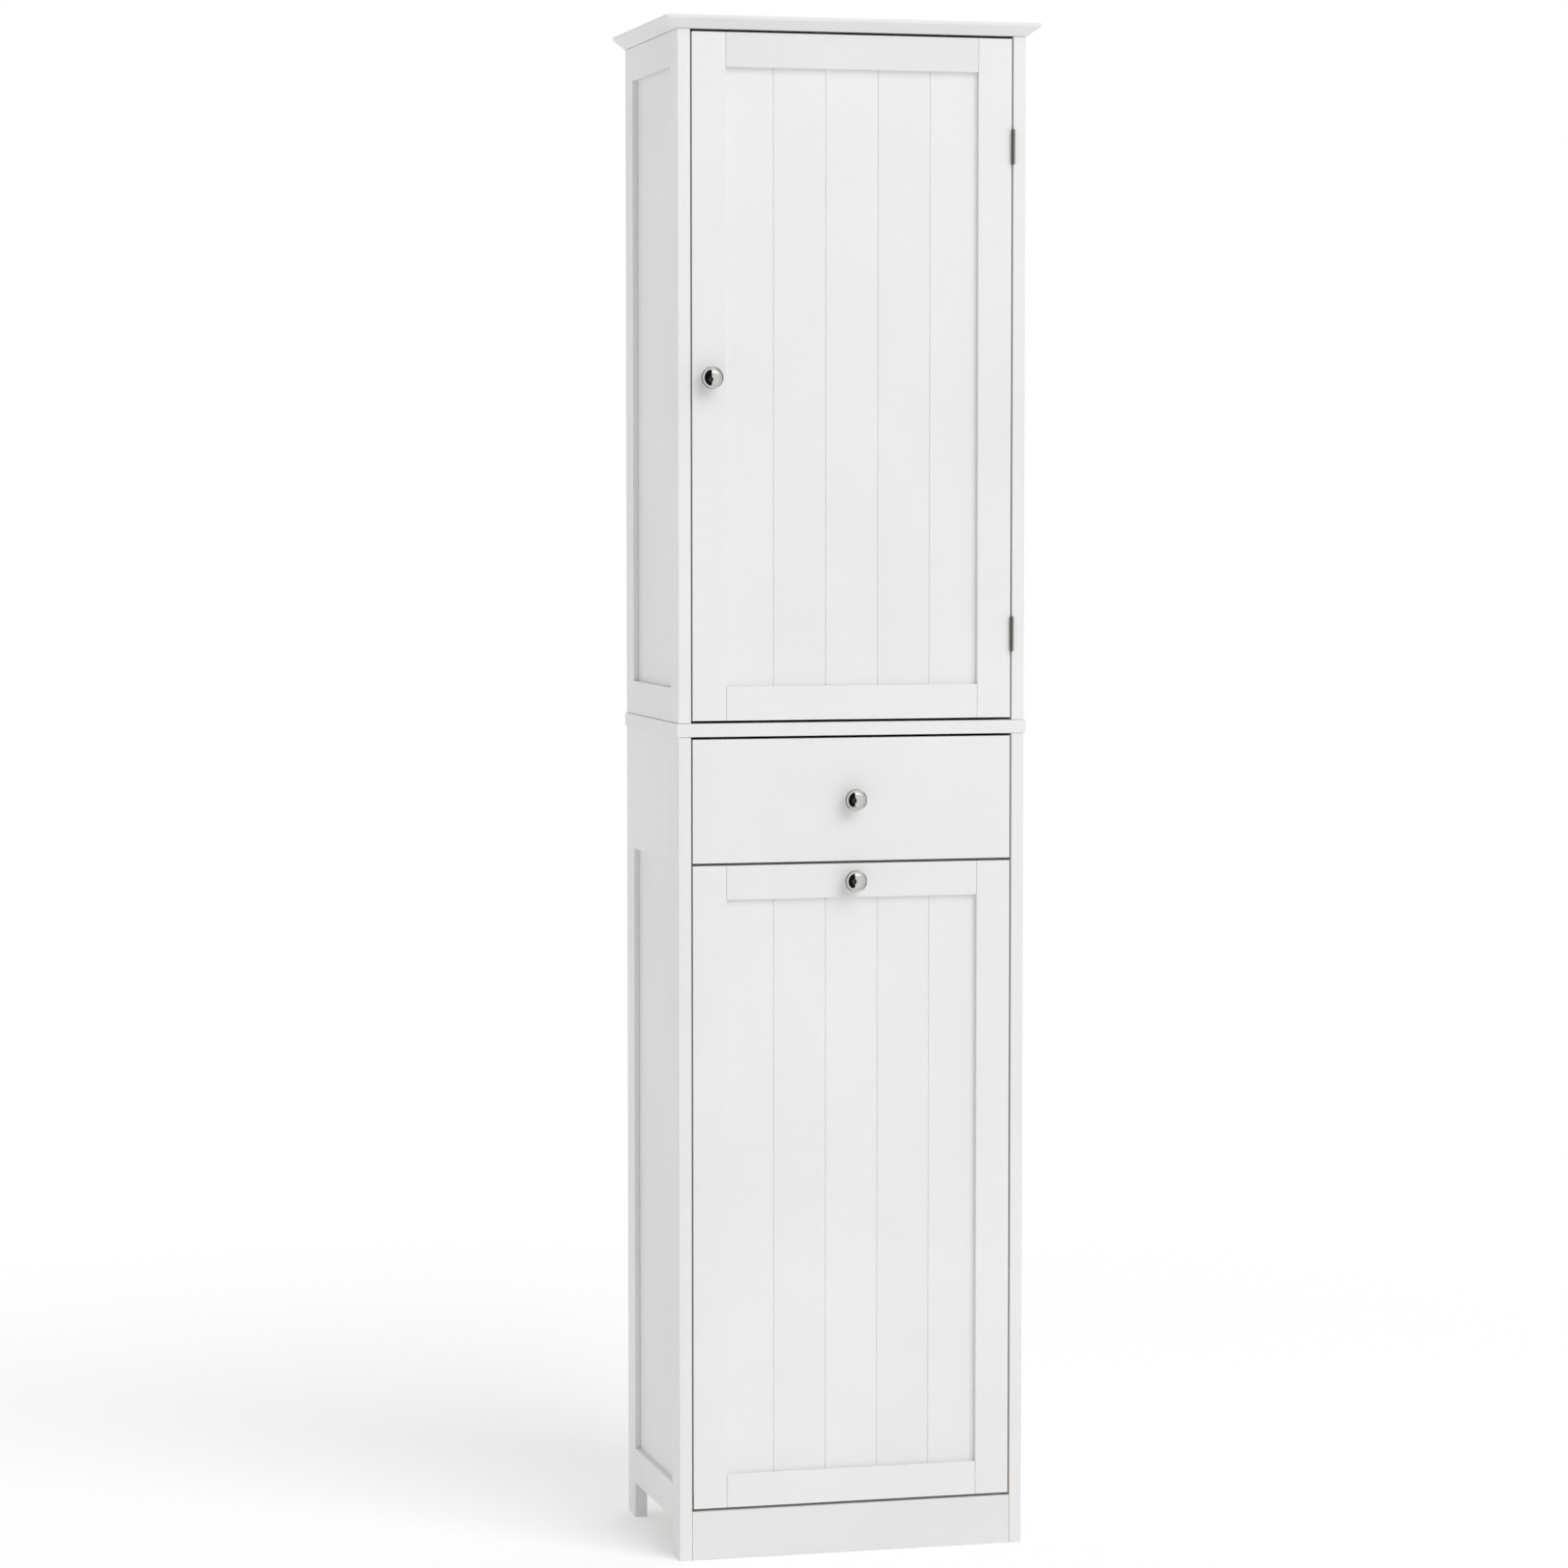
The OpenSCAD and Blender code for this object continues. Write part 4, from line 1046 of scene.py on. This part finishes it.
# The frame's leaves lie to the right of the gap's middle and face left; the door's mirror them.
# A head starts 0.6 mm inside its leaf and is 0.5 mm high, so it ends just under the leaf's face.
for leaf, sign in (("frame", 1), ("door", -1)):
    places = [(HINGE_X + sign * LEAF_FACE + sign * LEAF_HEAD_FOOT, y, z) for y, z in leaf_places]
    screw_heads(
        leaf + "_leaf_screws",
        "hinge_" + leaf + "_leaves",
        NICKEL,
        places,
        (-sign, 0, 0),
        LEAF_HEAD,
    )

# %% Screws of the pivot plates, the catch and its strike plate
PLATE_HEAD = (3.1, 0.6)
CATCH_HEAD = (5.0, 1.3)
PIVOT_FACE_X = 183.3
PIVOT_SCREW_Y = (-104, -93)
STRIKE_FACE_Y = -107.5
STRIKE_SCREW_STEP = 10.8
CATCH_Z = middle("door_catch", 2)
CATCH_SCREW_XY = (-171.5, -98.0)
CATCH_SCREW_STEP = 15

for side, sign in (("left", -1), ("right", 1)):
    plate = side + "_pivot_plate"
    places = [(sign * PIVOT_FACE_X, y, middle(plate, 2)) for y in PIVOT_SCREW_Y]
    screw_heads(side + "_pivot_screws", plate, BRASS, places, (-sign, 0, 0), PLATE_HEAD)

steps = (-STRIKE_SCREW_STEP, STRIKE_SCREW_STEP)
places = [(middle("strike_plate", 0), STRIKE_FACE_Y, CATCH_Z + dz) for dz in steps]
screw_heads("strike_screws", "strike_plate", ZINC, places, (0, 1, 0), PLATE_HEAD)

steps = (-CATCH_SCREW_STEP, CATCH_SCREW_STEP)
places = [(*CATCH_SCREW_XY, CATCH_Z + dz) for dz in steps]
screw_heads("catch_screws", "door_catch", ZINC, places, (1, 0, 0), CATCH_HEAD)

# %% Nails of the back panel
NAIL_HEAD = (3.2, 0.35)
NAIL_ROWS = (47.6, 774.6)
NAIL_REACH = 160
NAILS_IN_ROW = 7
BACK_FACE_Y = 137.0
nail_x = np.linspace(-NAIL_REACH, NAIL_REACH, NAILS_IN_ROW)
places = [(x, BACK_FACE_Y, z) for z in NAIL_ROWS for x in nail_x]
nailed = "lower_back_panel"
screw_heads("back_nails", nailed, ZINC, places, (0, 1, 0), NAIL_HEAD, recess=False)

# %% [markdown]
# ## Magnet of the catch
#
# A magnetic catch holds a black ferrite bar between two steel poles, which stand a little proud of
# it, towards the strike plate. Three bars from a box with a Bevel would do, but bars this small are
# simpler as an outline with cut corners, carried upright and drawn in at its ends. Ferrite is a
# sintered ceramic, dark grey with a faint gloss and a fine grain, so the metals' function makes it.

# %% Magnet and poles
END_ROUND = 0.2
CORNER_CUT = 0.15
FERRITE = plated_metal("sintered_ferrite", "#3A3A3C", 0.5, 0.08, grain_mm=0.3, dent_mm=0.01)


def block(x0, x1, y0, y1):
    """Corners of a block's outline, each cut at 45 degrees by CORNER_CUT mm."""
    c = CORNER_CUT
    near_side = [(x0 + c, y0), (x1 - c, y0), (x1, y0 + c)]
    far_side = [(x1, y1 - c), (x1 - c, y1), (x0 + c, y1)]
    return near_side + far_side + [(x0, y1 - c), (x0, y0 + c)]


def upright_bar(name, outline, z0, z1, node, finish, slot):
    """Closed outline in X and Y, in mm, carried from z0 to z1 with rounded ends: the outline
    shrinks towards its middle over the last END_ROUND mm, as (1 - cos, sin) of a quarter turn."""
    outline = np.array(outline, float)
    quarter = np.radians([0, 30, 60, 90])
    lift = END_ROUND * (1 - np.cos(quarter))
    height = np.concatenate([z0 + lift, (z1 - lift)[::-1]])
    inset = END_ROUND * (1 - np.sin(quarter))
    inset = np.concatenate([inset, inset[::-1]])
    centre = outline.mean(axis=0)
    away = outline - centre
    scale = 1 - inset[:, None] / np.abs(away).max()
    count = len(outline)
    ring_xy = centre + away[None, :, :] * scale[:, :, None]
    points = np.dstack([ring_xy, np.repeat(height[:, None], count, axis=1)]) * MM
    walls = grid_faces(len(height), count, closed=True).tolist()
    last = len(height) * count
    caps = [list(range(count))[::-1], list(range(last - count, last))]
    piece = new_piece(name, points, walls + caps)
    close_up(piece.data)
    piece.data.materials.append(finish)
    settle(piece, node, replaces=False)


CATCH_X = -177.5
BAR_HALF = 17
MAGNET_SIDE = 0.9
POLE_SIDE = 1.7
MAGNET_FACE_Y = -105.9
POLE_FACE_Y = -106.3
BAR_BACK_Y = -105.0
BARS = {
    "left_pole": (-POLE_SIDE, -MAGNET_SIDE, POLE_FACE_Y, ZINC),
    "magnet": (-MAGNET_SIDE, MAGNET_SIDE, MAGNET_FACE_Y, FERRITE),
    "right_pole": (MAGNET_SIDE, POLE_SIDE, POLE_FACE_Y, ZINC),
}
for name, (left, right, face_y, finish) in BARS.items():
    outline = block(CATCH_X + left, CATCH_X + right, face_y, BAR_BACK_Y)
    ends = (CATCH_Z - BAR_HALF, CATCH_Z + BAR_HALF)
    upright_bar("catch_" + name, outline, *ends, "door_catch", finish, "steel")
print("catch bars:", len(BARS))
